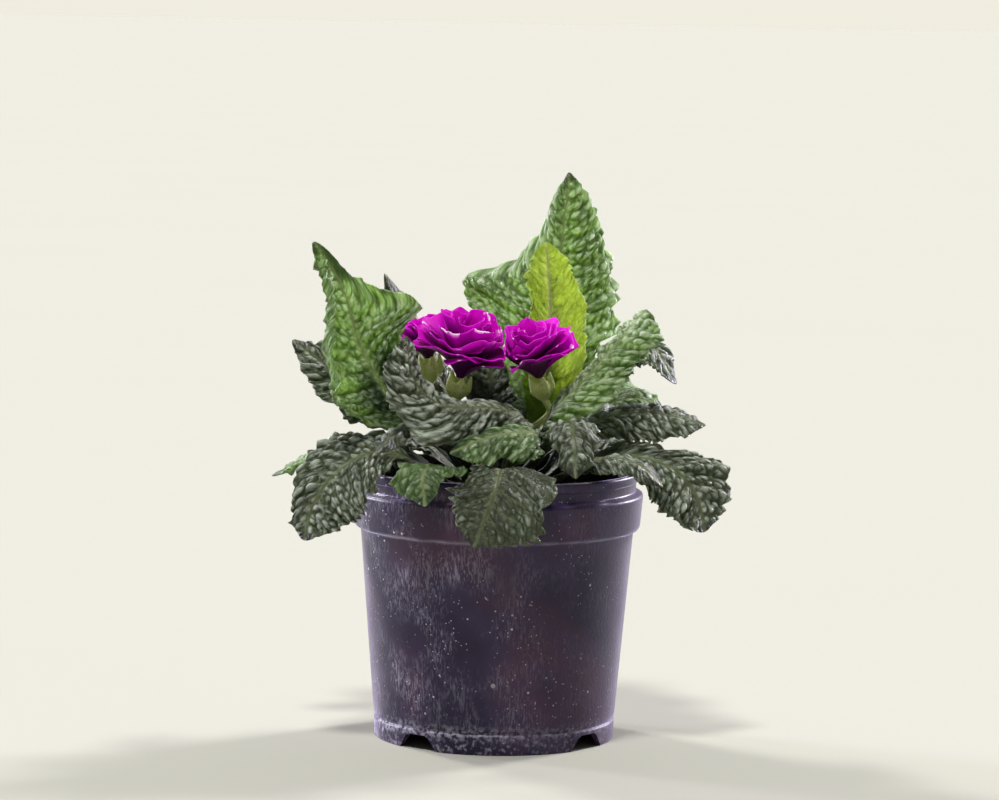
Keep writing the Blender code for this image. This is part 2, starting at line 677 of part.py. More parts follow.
def join(name, pieces, collection, material):
    """One body from overlapping ones, by a Boolean union on a collection."""
    group = bpy.data.collections.new(name + "_pieces")
    bpy.context.scene.collection.children.link(group)
    first, *others = pieces
    for piece in others:
        group.objects.link(piece)
        collection.objects.unlink(piece)
    union = first.modifiers.new("union", "BOOLEAN")
    union.operation = "UNION"
    union.operand_type = "COLLECTION"
    union.collection = group
    union.solver = "EXACT"
    apply_modifiers(first)
    fill_pockets(first.data)
    for piece in others:
        bpy.data.objects.remove(piece)
    bpy.data.collections.remove(group)
    first.name = first.data.name = name
    first.data.materials.clear()
    first.data.materials.append(material)
    return first


def make_bloom(name, bloom, collection, material):
    draw = np.random.default_rng(bloom["seed"])
    pieces = [make_tube(name + "_tube", bloom, collection, material)]
    turn = draw.uniform(0, 1)
    for level, whorl in enumerate(WHORLS):
        for index in range(whorl[0]):
            angle = turn + 2 * math.pi * index / whorl[0] + draw.uniform(-0.1, 0.1)
            points = petal_sheet(bloom, whorl, angle, draw)
            label = f"{name}_petal_{level}_{index}"
            mesh = sheet_mesh(label, points, np.ones(points.shape[:2]))
            petal = place(mesh, label, collection, material)
            thicken(petal, PETAL, PETAL, offset=0)
            apply_modifiers(petal)
            pieces.append(petal)
        turn += math.pi / whorl[0] + 0.3
    return join(name, pieces, collection, material)


def stand(obj, bloom, drop=0.0):
    """Sets an object that was made along Z at the bloom's eye, along its axis."""
    eye, first, second, out = bloom_frame(bloom)
    place_at = eye - drop * out
    matrix = Matrix(np.stack([first, second, out]).T.tolist()).to_4x4()
    obj.data.transform(Matrix.Translation(Vector(place_at * MM)) @ matrix)


def make_tube(name, bloom, collection, material):
    """The corolla tube, which the petals grow from and the calyx holds."""
    profile = [
        (0, 1.6), (2.0, 1.2), (TUBE_MOUTH_RADIUS, 0), (TUBE_FOOT_RADIUS, -TUBE_LENGTH),
        (0, -TUBE_LENGTH),
    ]
    tube = turned(name, profile, 10, collection, material)
    apply_modifiers(tube)
    stand(tube, bloom)
    return tube


def make_calyx(name, bloom, collection, material):
    """A ribbed cup with five teeth round the corolla tube."""
    slope = (TUBE_MOUTH_RADIUS - TUBE_FOOT_RADIUS) / TUBE_LENGTH
    bore_top = TUBE_MOUTH_RADIUS + slope * CALYX_MOUTH + GAP + CALYX_PLAY
    profile = [
        (0, -TUBE_LENGTH - GAP),
        (TUBE_FOOT_RADIUS + GAP + CALYX_PLAY, -TUBE_LENGTH - GAP),
        (bore_top, CALYX_MOUTH),
        (bore_top + CALYX_WALL, CALYX_MOUTH),
        (bore_top + CALYX_WALL + 0.3, CALYX_MOUTH - 2.0),
        (TUBE_FOOT_RADIUS + CALYX_WALL + 0.6, -TUBE_LENGTH),
        (FLOWER_STALK_RADIUS * 0.9, -TUBE_LENGTH - CALYX_BASE),
        (0, -TUBE_LENGTH - CALYX_BASE),
    ]
    calyx = turned(name, profile, CALYX_SIDES, collection, material)
    apply_modifiers(calyx)
    for vertex in calyx.data.vertices:
        x, y, z = (c / MM for c in vertex.co)
        radius = math.hypot(x, y)
        fifth = math.cos(5 * math.atan2(y, x))
        if z > CALYX_MOUTH - 0.1:
            vertex.co.z += MM * CALYX_TEETH * fifth * 0.5
        if radius > bore_top + 0.1 and z < CALYX_MOUTH + 0.1:
            vertex.co.x *= 1 + CALYX_RIBS * fifth
            vertex.co.y *= 1 + CALYX_RIBS * fifth
    stand(calyx, bloom)
    return calyx


def make_flower_stalk(name, bloom, collection, material):
    """From the crown to the calyx, as one piece with it."""
    eye, _, _, out = bloom_frame(bloom)
    foot = eye - (TUBE_LENGTH + CALYX_BASE - 0.8) * out
    start, second = from_crown(bloom["root"], [], reach=6)
    points = smooth_path([start, second, foot - 7 * out, foot], 7)
    curve = bpy.data.curves.new(name, "CURVE")
    curve.dimensions = "3D"
    spline = curve.splines.new("POLY")
    spline.points.add(len(points) - 1)
    for point, place_at in zip(spline.points, points):
        point.co = (*(place_at * MM), 1)
    curve.bevel_depth = FLOWER_STALK_RADIUS * MM
    curve.bevel_resolution = 2
    curve.use_fill_caps = True
    rough = bpy.data.objects.new(name + "_curve", curve)
    collection.objects.link(rough)
    graph = bpy.context.evaluated_depsgraph_get()
    mesh = bpy.data.meshes.new_from_object(rough.evaluated_get(graph))
    bpy.data.objects.remove(rough)
    bm = bmesh.new()
    bm.from_mesh(mesh)
    bmesh.ops.remove_doubles(bm, verts=bm.verts, dist=0.01 * MM)
    bm.to_mesh(mesh)
    bm.free()
    stalk = bpy.data.objects.new(name, mesh)
    collection.objects.link(stalk)
    calyx = make_calyx(name + "_calyx", bloom, collection, material)
    return join(name, [stalk, calyx], collection, material)


def main():
    clear_scene()
    parts = make_collection("potted_primrose")
    cutters = make_collection("cutters", hidden=True)
    materials = make_materials()
    make_pot(parts, cutters, materials["pot_plastic"])
    make_soil(parts, materials["compost"])
    make_crown(parts, materials["crown"])
    for name, leaf in LEAVES.items():
        make_leaf(name, leaf, parts, materials[leaf["kind"]])
    for name, bloom in BLOOMS.items():
        make_bloom(name, bloom, parts, materials["petal"])
        stalk = name.replace("bloom", "flower_stalk")
        make_flower_stalk(stalk, bloom, parts, materials["flower_stalk"])


main()
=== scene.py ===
# Potted primrose: the finished looks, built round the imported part.
# Lengths are in millimetres until the meshes are scaled by mm; -Y is the front.
import math

import bmesh
import bpy
import numpy as np
from mathutils import Matrix, Vector


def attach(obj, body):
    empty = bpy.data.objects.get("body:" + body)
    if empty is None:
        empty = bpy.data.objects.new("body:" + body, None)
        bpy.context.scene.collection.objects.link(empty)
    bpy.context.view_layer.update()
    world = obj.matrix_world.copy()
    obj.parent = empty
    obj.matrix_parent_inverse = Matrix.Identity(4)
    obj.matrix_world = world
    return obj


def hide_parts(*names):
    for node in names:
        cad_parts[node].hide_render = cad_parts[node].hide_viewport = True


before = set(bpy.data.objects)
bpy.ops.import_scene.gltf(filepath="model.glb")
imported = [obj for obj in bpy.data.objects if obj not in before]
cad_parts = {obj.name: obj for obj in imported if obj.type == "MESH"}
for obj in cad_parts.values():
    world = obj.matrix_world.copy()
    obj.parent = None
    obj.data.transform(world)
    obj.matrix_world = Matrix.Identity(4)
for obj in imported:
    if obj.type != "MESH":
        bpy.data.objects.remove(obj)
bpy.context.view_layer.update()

mm = 0.001
flatUnit = 100  # millimetres to a unit of the flat maps
clearance = 0.3  # between touching pieces

# Helpers for numbers


def towards(azimuth, elevation):
    azimuth, elevation = math.radians(azimuth), math.radians(elevation)
    flat = math.cos(elevation)
    return np.array([math.cos(azimuth) * flat, math.sin(azimuth) * flat, math.sin(elevation)])


def unit(vectors):
    return vectors / np.linalg.norm(vectors, axis=-1, keepdims=True)


def smoothstep(x, low, high):
    x = np.clip((x - low) / (high - low), 0, 1)
    return x * x * (3 - 2 * x)


def scatter(ix, iy, seed):
    # an even random number for each cell of a grid, the same on every run
    h = (ix.astype(np.int64) * 374761393 + iy.astype(np.int64) * 668265263 + seed * 974634777) & 0xFFFFFFFF
    h = ((h ^ (h >> 13)) * 1274126177) & 0xFFFFFFFF
    return ((h ^ (h >> 16)) & 0xFFFF) / 65535.0


def noise(x, y, seed):
    # smooth noise from -1 to 1, one bump for each unit
    ix, iy = np.floor(x), np.floor(y)
    fx, fy = smoothstep(x - ix, 0, 1), smoothstep(y - iy, 0, 1)
    low = scatter(ix, iy, seed) * (1 - fx) + scatter(ix + 1, iy, seed) * fx
    high = scatter(ix, iy + 1, seed) * (1 - fx) + scatter(ix + 1, iy + 1, seed) * fx
    return 2 * (low * (1 - fy) + high * fy) - 1


def cells(x, y, seed, jitter=0.75):
    # how far inside its cell of an irregular net a point lies: 0 on the net, about 1 in the middle
    ix, iy = np.floor(x), np.floor(y)
    near = np.full(x.shape, 9.0)
    nextNear = np.full(x.shape, 9.0)
    for dx in (-1, 0, 1):
        for dy in (-1, 0, 1):
            cx, cy = ix + dx, iy + dy
            px = cx + 0.5 + jitter * (scatter(cx, cy, seed) - 0.5)
            py = cy + 0.5 + jitter * (scatter(cx, cy, seed + 7) - 0.5)
            away = np.hypot(px - x, py - y)
            nextNear = np.minimum(nextNear, np.maximum(near, away))
            near = np.minimum(near, away)
    return nextNear - near


def smoothPath(points, count):
    p = np.array(points, float)
    p = np.vstack([2 * p[0] - p[1], p, 2 * p[-1] - p[-2]])
    t = np.linspace(0, 1, 16, endpoint=False)[:, None]
    runs = [
        b + 0.5 * ((c - a) * t + (2 * a - 5 * b + 4 * c - d) * t**2 + (3 * b - a - 3 * c + d) * t**3)
        for a, b, c, d in zip(p, p[1:], p[2:], p[3:])
    ]
    fine = np.vstack([*runs, p[-2:-1]])
    run = np.concatenate([[0], np.cumsum(np.linalg.norm(np.diff(fine, axis=0), axis=1))])
    even = np.linspace(0, run[-1], count)
    return np.stack([np.interp(even, run, fine[:, k]) for k in range(3)], axis=1), run[-1]


# Helpers for meshes


def gridMesh(name, points, layers=None, flat=None, closed=False):
    # points set by rows and columns, with values kept at each point and a flat map in millimetres
    rows, columns = points.shape[:2]
    index = np.arange(rows * columns).reshape(rows, columns)
    if closed:
        index = np.hstack([index, index[:, :1]])
    quads = np.stack([index[:-1, :-1], index[:-1, 1:], index[1:, 1:], index[1:, :-1]], axis=-1)
    mesh = bpy.data.meshes.new(name)
    mesh.from_pydata((points.reshape(-1, 3) * mm).tolist(), [], quads.reshape(-1, 4).tolist())
    for layer, values in (layers or {}).items():
        spots = mesh.attributes.new(layer, "FLOAT", "POINT").data
        spots.foreach_set("value", values.ravel().astype(np.float32))
    if flat is not None:
        uv = mesh.uv_layers.new(name="flatMap")
        corner = np.empty(len(mesh.loops), np.int32)
        mesh.loops.foreach_get("vertex_index", corner)
        uv.data.foreach_set("uv", (flat.reshape(-1, 2)[corner] / flatUnit).ravel().astype(np.float32))
    mesh.shade_smooth()
    return mesh


def placeObject(name, data, *materials):
    piece = bpy.data.objects.new(name, data)
    for material in materials:
        data.materials.append(material)
    bpy.context.scene.collection.objects.link(piece)
    return piece


def applyModifiers(piece):
    graph = bpy.context.evaluated_depsgraph_get()
    mesh = bpy.data.meshes.new_from_object(piece.evaluated_get(graph))
    piece.modifiers.clear()
    piece.data = mesh


def makeSolid(piece, thickness, offset, thicker=None):
    # a solid from a sheet, with the second material on its lower face; where thicker is given,
    # the sheet grows thicker by its first number, as far as its weights say
    solid = piece.modifiers.new("thickness", "SOLIDIFY")
    solid.offset = offset
    solid.material_offset = 1
    solid.thickness = thickness * mm
    if thicker is not None:
        extra, weights = thicker
        group = piece.vertex_groups.new(name="thick")
        weights = np.round(weights.ravel(), 2)
        for level in np.unique(weights):
            group.add(np.nonzero(weights == level)[0].tolist(), float(level), "REPLACE")
        solid.thickness = (thickness + extra) * mm
        solid.vertex_group = group.name
        solid.thickness_vertex_group = thickness / (thickness + extra)
    applyModifiers(piece)
    piece.vertex_groups.clear()


def keepShape(shape, mesh):
    bmesh.ops.recalc_face_normals(shape, faces=shape.faces)
    shape.to_mesh(mesh)
    shape.free()
    return mesh


def joinMeshes(name, meshes):
    merged = bmesh.new()
    for mesh in meshes:
        merged.from_mesh(mesh)
    whole = bpy.data.meshes.new(name)
    merged.to_mesh(whole)
    merged.free()
    return whole


def finishPiece(piece, slot, *nodes):
    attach(piece, "root")
    if nodes:
        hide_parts(*nodes)
    return piece


# Helpers for materials


def feed(node, inputs):
    # each input takes a number, a colour or what another node puts out
    for name, value in inputs.items():
        socket = node.inputs[name]
        if isinstance(value, bpy.types.NodeSocket):
            node.id_data.links.new(value, socket)
        else:
            socket.default_value = (*value, 1) if socket.type == "RGBA" else value


def addNode(tree, kind, inputs=None, **settings):
    made = tree.nodes.new("ShaderNode" + kind)
    for name, value in settings.items():
        setattr(made, name, value)
    feed(made, inputs or {})
    return made


def mixed(share, first, second):
    return addNode(share.id_data, "Mix", {0: share, 6: first, 7: second}, data_type="RGBA").outputs[2]


def calculate(operation, *values, clamp=False):
    tree = next(value.id_data for value in values if isinstance(value, bpy.types.NodeSocket))
    made = addNode(tree, "Math", dict(enumerate(values)), operation=operation, use_clamp=clamp)
    return made.outputs[0]


def times(first, second):
    return calculate("MULTIPLY", first, second)


def spread(value, low, high, toLow=0.0, toHigh=1.0):
    names = ("Value", "From Min", "From Max", "To Min", "To Max")
    return addNode(value.id_data, "MapRange", dict(zip(names, (value, low, high, toLow, toHigh)))).outputs[0]


def cloud(place, scale, detail=4.0, roughness=0.5, output="Fac"):
    inputs = {"Vector": place, "Scale": scale, "Detail": detail, "Roughness": roughness}
    return addNode(place.id_data, "TexNoise", inputs).outputs[output]


def patches(place, noise, *to):
    # noise: its scale, from and to, and where it isn't as usual its detail
    scale, low, high, *detail = noise
    return spread(cloud(place, scale, *detail), low, high, *to)


def bumped(height, depth, strength=1.0, **under):
    inputs = {"Height": height, "Distance": depth * mm, "Strength": strength, **under}
    return addNode(height.id_data, "Bump", inputs).outputs[0]


def readLayer(tree, name):
    return addNode(tree, "Attribute", attribute_name=name).outputs["Fac"]


def flatMap(tree):
    return addNode(tree, "UVMap", uv_map="flatMap").outputs[0]


def ownPlace(tree):
    return addNode(tree, "TexCoord").outputs["Object"]


def newGroup(name, inputs, outputs):
    tree = bpy.data.node_groups.new(name, "ShaderNodeTree")
    for label, kind in inputs:
        tree.interface.new_socket(label, in_out="INPUT", socket_type="NodeSocket" + kind)
    for label, kind in outputs:
        tree.interface.new_socket(label, in_out="OUTPUT", socket_type="NodeSocket" + kind)
    return tree, tree.nodes.new("NodeGroupInput").outputs, tree.nodes.new("NodeGroupOutput")


def useGroup(tree, group, inputs):
    return addNode(tree, "Group", inputs, node_tree=group).outputs


def newMaterial(name):
    material = bpy.data.materials.new(name)
    material.use_nodes = True
    return material, material.node_tree, material.node_tree.nodes["Principled BSDF"]


def letThrough(tree, share, colour, **normal):
    # a share of the light goes through the sheet and takes this colour
    through = addNode(tree, "BsdfTranslucent", {"Color": colour, **normal})
    shader = tree.nodes["Principled BSDF"]
    both = addNode(tree, "MixShader", {0: share, 1: shader.outputs[0], 2: through.outputs[0]})
    feed(tree.nodes["Material Output"], {"Surface": both.outputs[0]})


def makeVeinNet():
    # the finest veins of a leaf or petal: an irregular net, and the small cushions between its threads
    tree, given, out = newGroup(
        "veinNet",
        [("Map", "Vector"), ("Cell Size", "Float")],
        [("Net", "Float"), ("Height", "Float"), ("Patches", "Float")],
    )
    scale = calculate("DIVIDE", float(flatUnit), given["Cell Size"])
    bend = cloud(given["Map"], 30.0, 1.0, output="Color")
    nudge = addNode(tree, "VectorMath", {0: bend, 1: (0.012, 0.012, 0.0)}, operation="MULTIPLY")
    bent = addNode(tree, "VectorMath", {0: given["Map"], 1: nudge.outputs[0]}, operation="ADD").outputs[0]
    fine = addNode(tree, "TexVoronoi", {"Vector": bent, "Scale": scale}, feature="DISTANCE_TO_EDGE")
    inside = fine.outputs["Distance"]
    dome = calculate("POWER", spread(inside, 0.0, 0.42), 0.6)
    feed(out, {
        "Net": spread(inside, 0.0, 0.16, 1.0, 0.0),
        "Height": calculate("MULTIPLY_ADD", cloud(given["Map"], 420.0, 3.0), 0.25, dome),
        "Patches": patches(given["Map"], (14.0, 0.35, 0.68, 3.0, 0.6)),
    })
    return tree


def makeGrit():
    # uneven earthy or fibrous colour and relief, read from the object's own coordinates
    tree, given, out = newGroup(
        "grit",
        [("Size", "Float"), ("Dark", "Color"), ("Light", "Color")],
        [("Color", "Color"), ("Height", "Float")],
    )
    place = ownPlace(tree)
    scale = calculate("DIVIDE", 1000.0, given["Size"])
    lumps = cloud(place, scale, 6.0, 0.65)
    bits = addNode(tree, "TexVoronoi", {"Vector": place, "Scale": scale}).outputs["Distance"]
    feed(out, {
        "Color": mixed(spread(lumps, 0.35, 0.7), given["Dark"], given["Light"]),
        "Height": calculate("SUBTRACT", lumps, times(bits, 0.4)),
    })
    return tree


veinNet = makeVeinNet()
grit = makeGrit()


def useGrit(tree, look):
    return useGroup(tree, grit, {"Size": look["size"], "Dark": look["dark"], "Light": look["light"]})


def grittyMaterial(name, look):
    material, tree, shader = newMaterial(name)
    grains = useGrit(tree, look)
    feed(shader, {
        "Base Color": grains["Color"],
        "Roughness": spread(grains["Height"], 0.0, 0.8, *look["roughness"]),
        "Normal": bumped(grains["Height"], look["relief"]),
    })
    return material


print("helpers ready")

# Leaves. root: azimuth and elevation of the stalk where it leaves the crown; path: the midrib's
# points; turn: about the midrib; cup: rise of both halves; ruffle: waves of the edge; rows: steps of
# the solid's own edge; left and right: place along the leaf, half width and roll; crinkle and jagged:
# how strong the relief and the teeth are.


def plain(width, roll, blunt=0.55):
    return [
        (0.2, 2.1, 0), (0.42, 0.62 * width, 0.4 * roll), (0.62, width, roll),
        (0.8, 0.9 * width, roll), (0.93, blunt * width, roll), (1.0, 0.2 * width, 0.6 * roll),
    ]


leaves = {
    "leaf_rear_tall": dict(
        root=(72, 56), path=[(10, 18, 118), (17, 27, 144), (21, 30, 170), (24, 25, 203)],
        turn=-4, cup=10, rows=17, kind="leaf_green", crinkle=1.15,
        left=[(0.12, 3, 0), (0.28, 20, 0), (0.5, 27, -15), (0.6, 38, -10), (0.68, 20, -50),
              (0.8, 10, -110), (0.92, 6, -110), (1, 3, -110)],
        right=[(0.15, 2, 0), (0.31, 15, -30), (0.5, 26, -80), (0.7, 25, -110), (0.8, 19, -110),
               (0.92, 10, -100), (1, 4, -100)]),
    "leaf_rear_young": dict(
        root=(55, 74), path=[(13, 9, 114), (18, 13, 134), (18, 15, 152), (16, 13, 178)],
        turn=-30, cup=14, ruffle=0.8, rows=13, kind="leaf_young",
        left=[(0.2, 2, 0), (0.45, 10, 30), (0.7, 9, 40), (0.9, 7, 20), (1, 4, 0)],
        right=[(0.2, 2, 0), (0.5, 15, 10), (0.68, 14, 20), (0.85, 11, 10), (1, 4, 0)]),
    "leaf_left_tall": dict(
        root=(172, 44),
        path=[(-24, -1, 108), (-38, -3, 121), (-50, -5, 141), (-56, -6, 160), (-67, -8, 178)],
        turn=70, cup=6, ruffle=1.4, rows=17, kind="leaf_green", crinkle=1.2,
        foldShade=((-38, -5, 125), (13, 40, 15)),  # painted shade: the fold between its halves is coloured dark, as it lies in shade
        left=[(0.2, 2, 0), (0.3, 8, 30), (0.38, 19, 70), (0.5, 34, 90), (0.62, 28, 110),
              (0.75, 19, 120), (0.88, 10, 110), (1, 3, 60)],
        right=[(0.2, 2, 0), (0.36, 10, 30), (0.52, 17, 100), (0.62, 20, 70), (0.7, 28, 20),
               (0.77, 10, 20), (0.84, 4, 20), (1, 2, 0)]),
    "leaf_right_roll": dict(
        root=(-28, 52),
        path=[(14, -11, 110), (20, -16, 121), (31, -17, 132), (44, -13, 147), (52, -9, 156)],
        turn=-50, ruffle=0.8, rows=12, kind="leaf_green", crinkle=1.35,
        left=[(0.2, 2, 0), (0.35, 5, -60), (0.6, 13, -95), (0.9, 14, -80), (1, 9, -50)],
        right=[(0.2, 2, 0), (0.35, 9, -60), (0.6, 14, -95), (0.9, 14, -80), (1, 9, -50)]),
    "leaf_right_hook": dict(
        root=(10, 44), path=[(22, 3, 113), (34, 8, 127), (45, 11, 139), (56, 10, 140), (64, 7, 128)],
        turn=-20, ruffle=0.9, left=plain(10, -30), right=plain(11, -25)),
    "leaf_right_back": dict(
        root=(38, 30), path=[(22, 15, 106), (36, 21, 117), (50, 25, 121), (61, 26, 115)],
        turn=-20, cup=4, ruffle=0.9, kind="leaf_green", left=plain(12, -30), right=plain(13, -30)),
    "leaf_right_level": dict(
        root=(-4, 28), path=[(22, -2, 106), (37, -4, 116), (55, -7, 119), (74, -10, 115)],
        turn=-25, rows=12, crinkle=1.3, left=plain(10, -60), right=plain(13, -60)),
    "leaf_right_low": dict(
        root=(-16, 10),
        path=[(30, -11, 101), (48, -18, 104.5), (63, -22, 100), (71, -23, 90), (74, -22, 78)],
        turn=-35, cup=4, ruffle=1.6, rows=15,
        left=[(0.2, 2, 0), (0.42, 4, 0), (0.62, 8, -10), (0.8, 18, -10), (0.92, 13, -10), (1, 6, 0)],
        right=[(0.2, 2, 0), (0.42, 5, 0), (0.62, 15, -20), (0.8, 18, -30), (0.92, 12, -20), (1, 6, 0)]),
    "leaf_front_right_low": dict(
        root=(-42, 12), path=[(27, -20, 100), (40, -29, 105), (50, -35, 103), (58, -39, 96)],
        turn=-15, ruffle=0.8, left=plain(7, -60), right=plain(9, -70)),
    "leaf_front_right": dict(
        root=(-48, 32), path=[(18, -20, 109), (24, -33, 118), (26, -45, 114), (27, -53, 100)], rows=12,
        left=plain(10, -60), right=plain(10, -60)),
    "leaf_front_upper": dict(
        root=(-75, 56),
        path=[(7, -15, 111), (9, -22, 118), (-3, -28, 122), (-20, -32, 123), (-30, -33, 132),
              (-33, -33, 147)], turn=80, rows=15, crinkle=1.35,
        left=[(0.2, 2, 0), (0.36, 10, -60), (0.55, 15, -80), (0.75, 16, -80), (0.9, 13, -60),
              (1, 6, -30)],
        right=[(0.2, 2, 0), (0.36, 6, -60), (0.55, 8, -80), (0.75, 11, -60), (0.9, 10, -40),
               (1, 5, -30)]),
    "leaf_front_middle": dict(
        root=(-80, 28),
        path=[(5, -24, 103.5), (14, -33, 110), (11, -38, 114.5), (-3, -42, 113), (-17, -43, 107)],
        turn=80, ruffle=0.6, rows=12, kind="leaf_green",
        left=[(0.2, 2, 0), (0.42, 6, -50), (0.6, 12, -60), (0.8, 11, -60), (0.93, 6, -40), (1, 3, -20)],
        right=[(0.2, 2, 0), (0.42, 4, -60), (0.6, 6, -60), (0.8, 6, -50), (0.93, 5, -30), (1, 2, -20)]),
    "leaf_front_low": dict(
        root=(-90, 10), path=[(2, -34, 99), (1, -51, 102.5), (-2, -60, 93), (-8, -59, 76)],
        ruffle=1.3, rows=15, crinkle=0.35, jagged=1.9,
        left=[(0.2, 2, 0), (0.42, 7, 0), (0.62, 19, -15), (0.77, 22, -20), (0.88, 18, -15),
              (0.95, 8, -10), (1, 3, 0)],
        right=[(0.2, 2, 0), (0.42, 4, 0), (0.62, 13, -10), (0.77, 15, -20), (0.88, 14, -15),
               (0.95, 8, -10), (1, 3, 0)]),
    "leaf_front_left_low": dict(
        root=(-118, 10), path=[(-13, -25, 99), (-21, -42, 102), (-26, -52, 101), (-25, -58, 90)],
        ruffle=1.2, rows=12, kind="leaf_green", crinkle=0.5, jagged=1.6,
        left=plain(9, -20), right=plain(12, -20)),
    "leaf_left_low": dict(
        root=(-156, 10),
        path=[(-28, -13, 100), (-43, -20, 104.5), (-56, -27, 99), (-65, -31, 87), (-68, -33, 74)],
        turn=35, cup=4, ruffle=1.5, rows=14, crinkle=1.15,
        left=[(0.2, 2, 0), (0.42, 7, 0), (0.62, 15, -20), (0.78, 20, -25), (0.92, 13, -20), (1, 5, 0)],
        right=[(0.2, 2, 0), (0.4, 8, 0), (0.58, 15, -20), (0.75, 13, -20), (0.9, 8, -10), (1, 4, 0)]),
    "leaf_left_small": dict(
        root=(-130, 33), path=[(-17, -17, 107), (-27, -27, 114), (-36, -35, 113), (-43, -40, 106)],
        turn=10, ruffle=0.8, left=plain(8, -50), right=plain(8, -50)),
    "leaf_left_inner": dict(
        root=(-160, 36), path=[(-20, -8, 108), (-31, -13, 116), (-40, -18, 127)],
        turn=20, cup=5, ruffle=0.8, kind="leaf_green", left=plain(7, -30), right=plain(6, -40)),
    "leaf_left_out": dict(
        root=(178, 10), path=[(-30, 3, 100), (-56, 8, 103), (-82, 8, 92)],
        turn=15, cup=4, ruffle=1.2, kind="leaf_green", left=plain(10, -20), right=plain(12, -30)),
    "leaf_left_rear": dict(
        root=(150, 28), path=[(-26, 16, 107), (-50, 22, 122), (-76, 24, 140)],
        turn=30, cup=6, ruffle=1.2, left=plain(14, -30, 0.4), right=plain(14, -50, 0.4)),
    "leaf_rear_left": dict(
        root=(124, 52), path=[(-14, 20, 114), (-25, 31, 132), (-35, 36, 148), (-43, 38, 164)], cup=6,
        left=plain(9, -80, 0.4), right=plain(9, -80, 0.4)),
    "leaf_back_a": dict(
        root=(34, 10), path=[(27, 17, 101), (45, 27, 105), (62, 38, 92)], cup=4, ruffle=1.2, rows=8,
        left=plain(20, -40), right=plain(20, -35)),
    "leaf_back_b": dict(
        root=(66, 28), path=[(15, 27, 107), (24, 44, 117), (34, 60, 112)],
        cup=4, ruffle=1.2, rows=8, kind="leaf_green", left=plain(20, -45), right=plain(20, -50)),
    "leaf_back_c": dict(
        root=(88, 10), path=[(0, 32, 101), (-1, 50, 105), (-2, 66, 91)], cup=4, ruffle=1.2, rows=8,
        left=plain(21, -40), right=plain(21, -40)),
    "leaf_back_d": dict(
        root=(136, 10), path=[(-24, 24, 101), (-40, 37, 105), (-54, 50, 92)], cup=4, ruffle=1.2, rows=8,
        left=plain(20, -40), right=plain(20, -40)),
    "leaf_back_e": dict(
        root=(104, 66), path=[(-2, 9, 111), (-3, 12, 122), (-3, 15, 135)], ruffle=0.6, rows=8,
        left=[(0.2, 2, 0), (0.45, 6, -20), (0.6, 9.5, -20), (0.88, 9.5, -20), (1, 4, -10)],
        right=plain(10, -20)),
}
usualLeaf = dict(turn=0, cup=0, ruffle=1.0, rows=10, kind="leaf_dark", crinkle=1.0, jagged=1.0)
leaves = {node: {**usualLeaf, **leaf} for node, leaf in leaves.items()}

crown = dict(radius=11.5, centre=89.0, depth=14.0)
blade = dict(
    thin=0.42, keel=1.9,  # thickness of the blade, and of the stalk and midrib beyond it
    veinSweep=0.55, tooth=0.035, pucker=0.85, ruffleWaves=2.5,  # as in the solids
    sideVein=5.2, ribHeight=1.5,  # the ribs between the side veins
    cell=3.2, cellHeight=1.4, cellShare=0.65,  # the cushions between the smaller veins
    jag=1.7, jagLength=7.5, toothDepth=1.3, toothLength=4.3,  # the teeth of the edge, large and small
    crisp=0.8, crispLength=1.75,  # the edge's short waves
    grooveDepth=0.25, netWidth=0.16,
    gridAlong=0.6, gridAcross=0.72, hiddenGrid=1.25,  # size of a mesh face, and how much larger at the back
    crownShade=(0, 2, 108), crownShadeSize=(36, 30, 26), crownShadeStrength=0.88,  # painted shade: the leaves are coloured darkest round this point, in the hollow of the crown
    halfApart=60,  # keeps the two halves apart on the flat map
    firstSeed=11,
)


def fromCrown(root, path, reach=7.0):
    out = towards(*root)
    start = np.array([0, 0, crown["centre"]]) + out * (crown["radius"] + clearance)
    return [start, start + out * reach, *path]


def carrySide(side, along):
    # a direction across the path, carried along it without twisting, and the one upright to both
    sides = [side]
    for direction in along:
        sides.append(unit(sides[-1] - sides[-1] @ direction * direction))
    side = np.array(sides[1:])
    return side, np.cross(side, along)


def midribFrame(leaf, count=121):
    points, length = smoothPath(fromCrown(leaf["root"], leaf["path"]), count)
    azimuth = math.radians(leaf["root"][0])
    level = np.array([math.sin(azimuth), -math.cos(azimuth), 0])
    side, up = carrySide(level, unit(np.gradient(points, axis=0)))
    t = np.linspace(0, 1, count)
    turn = np.radians(leaf["turn"] * smoothstep(t, 0.05, 0.4))[:, None]
    across, above = side * np.cos(turn) + up * np.sin(turn), up * np.cos(turn) - side * np.sin(turn)
    return t, points, across, above, length


def halfProfile(knots, t):
    at, *values = np.array(knots, float).T
    fine = np.linspace(0, 1, 201)
    kernel = np.hanning(23)
    rough = [np.pad(np.interp(fine, at, value), 11, mode="edge") for value in values]
    width, roll = (np.interp(t, fine, np.convolve(r, kernel / kernel.sum(), mode="valid")) for r in rough)
    return width * np.sqrt(np.clip((1 - t) / 0.06, 0, 1)), np.radians(roll)


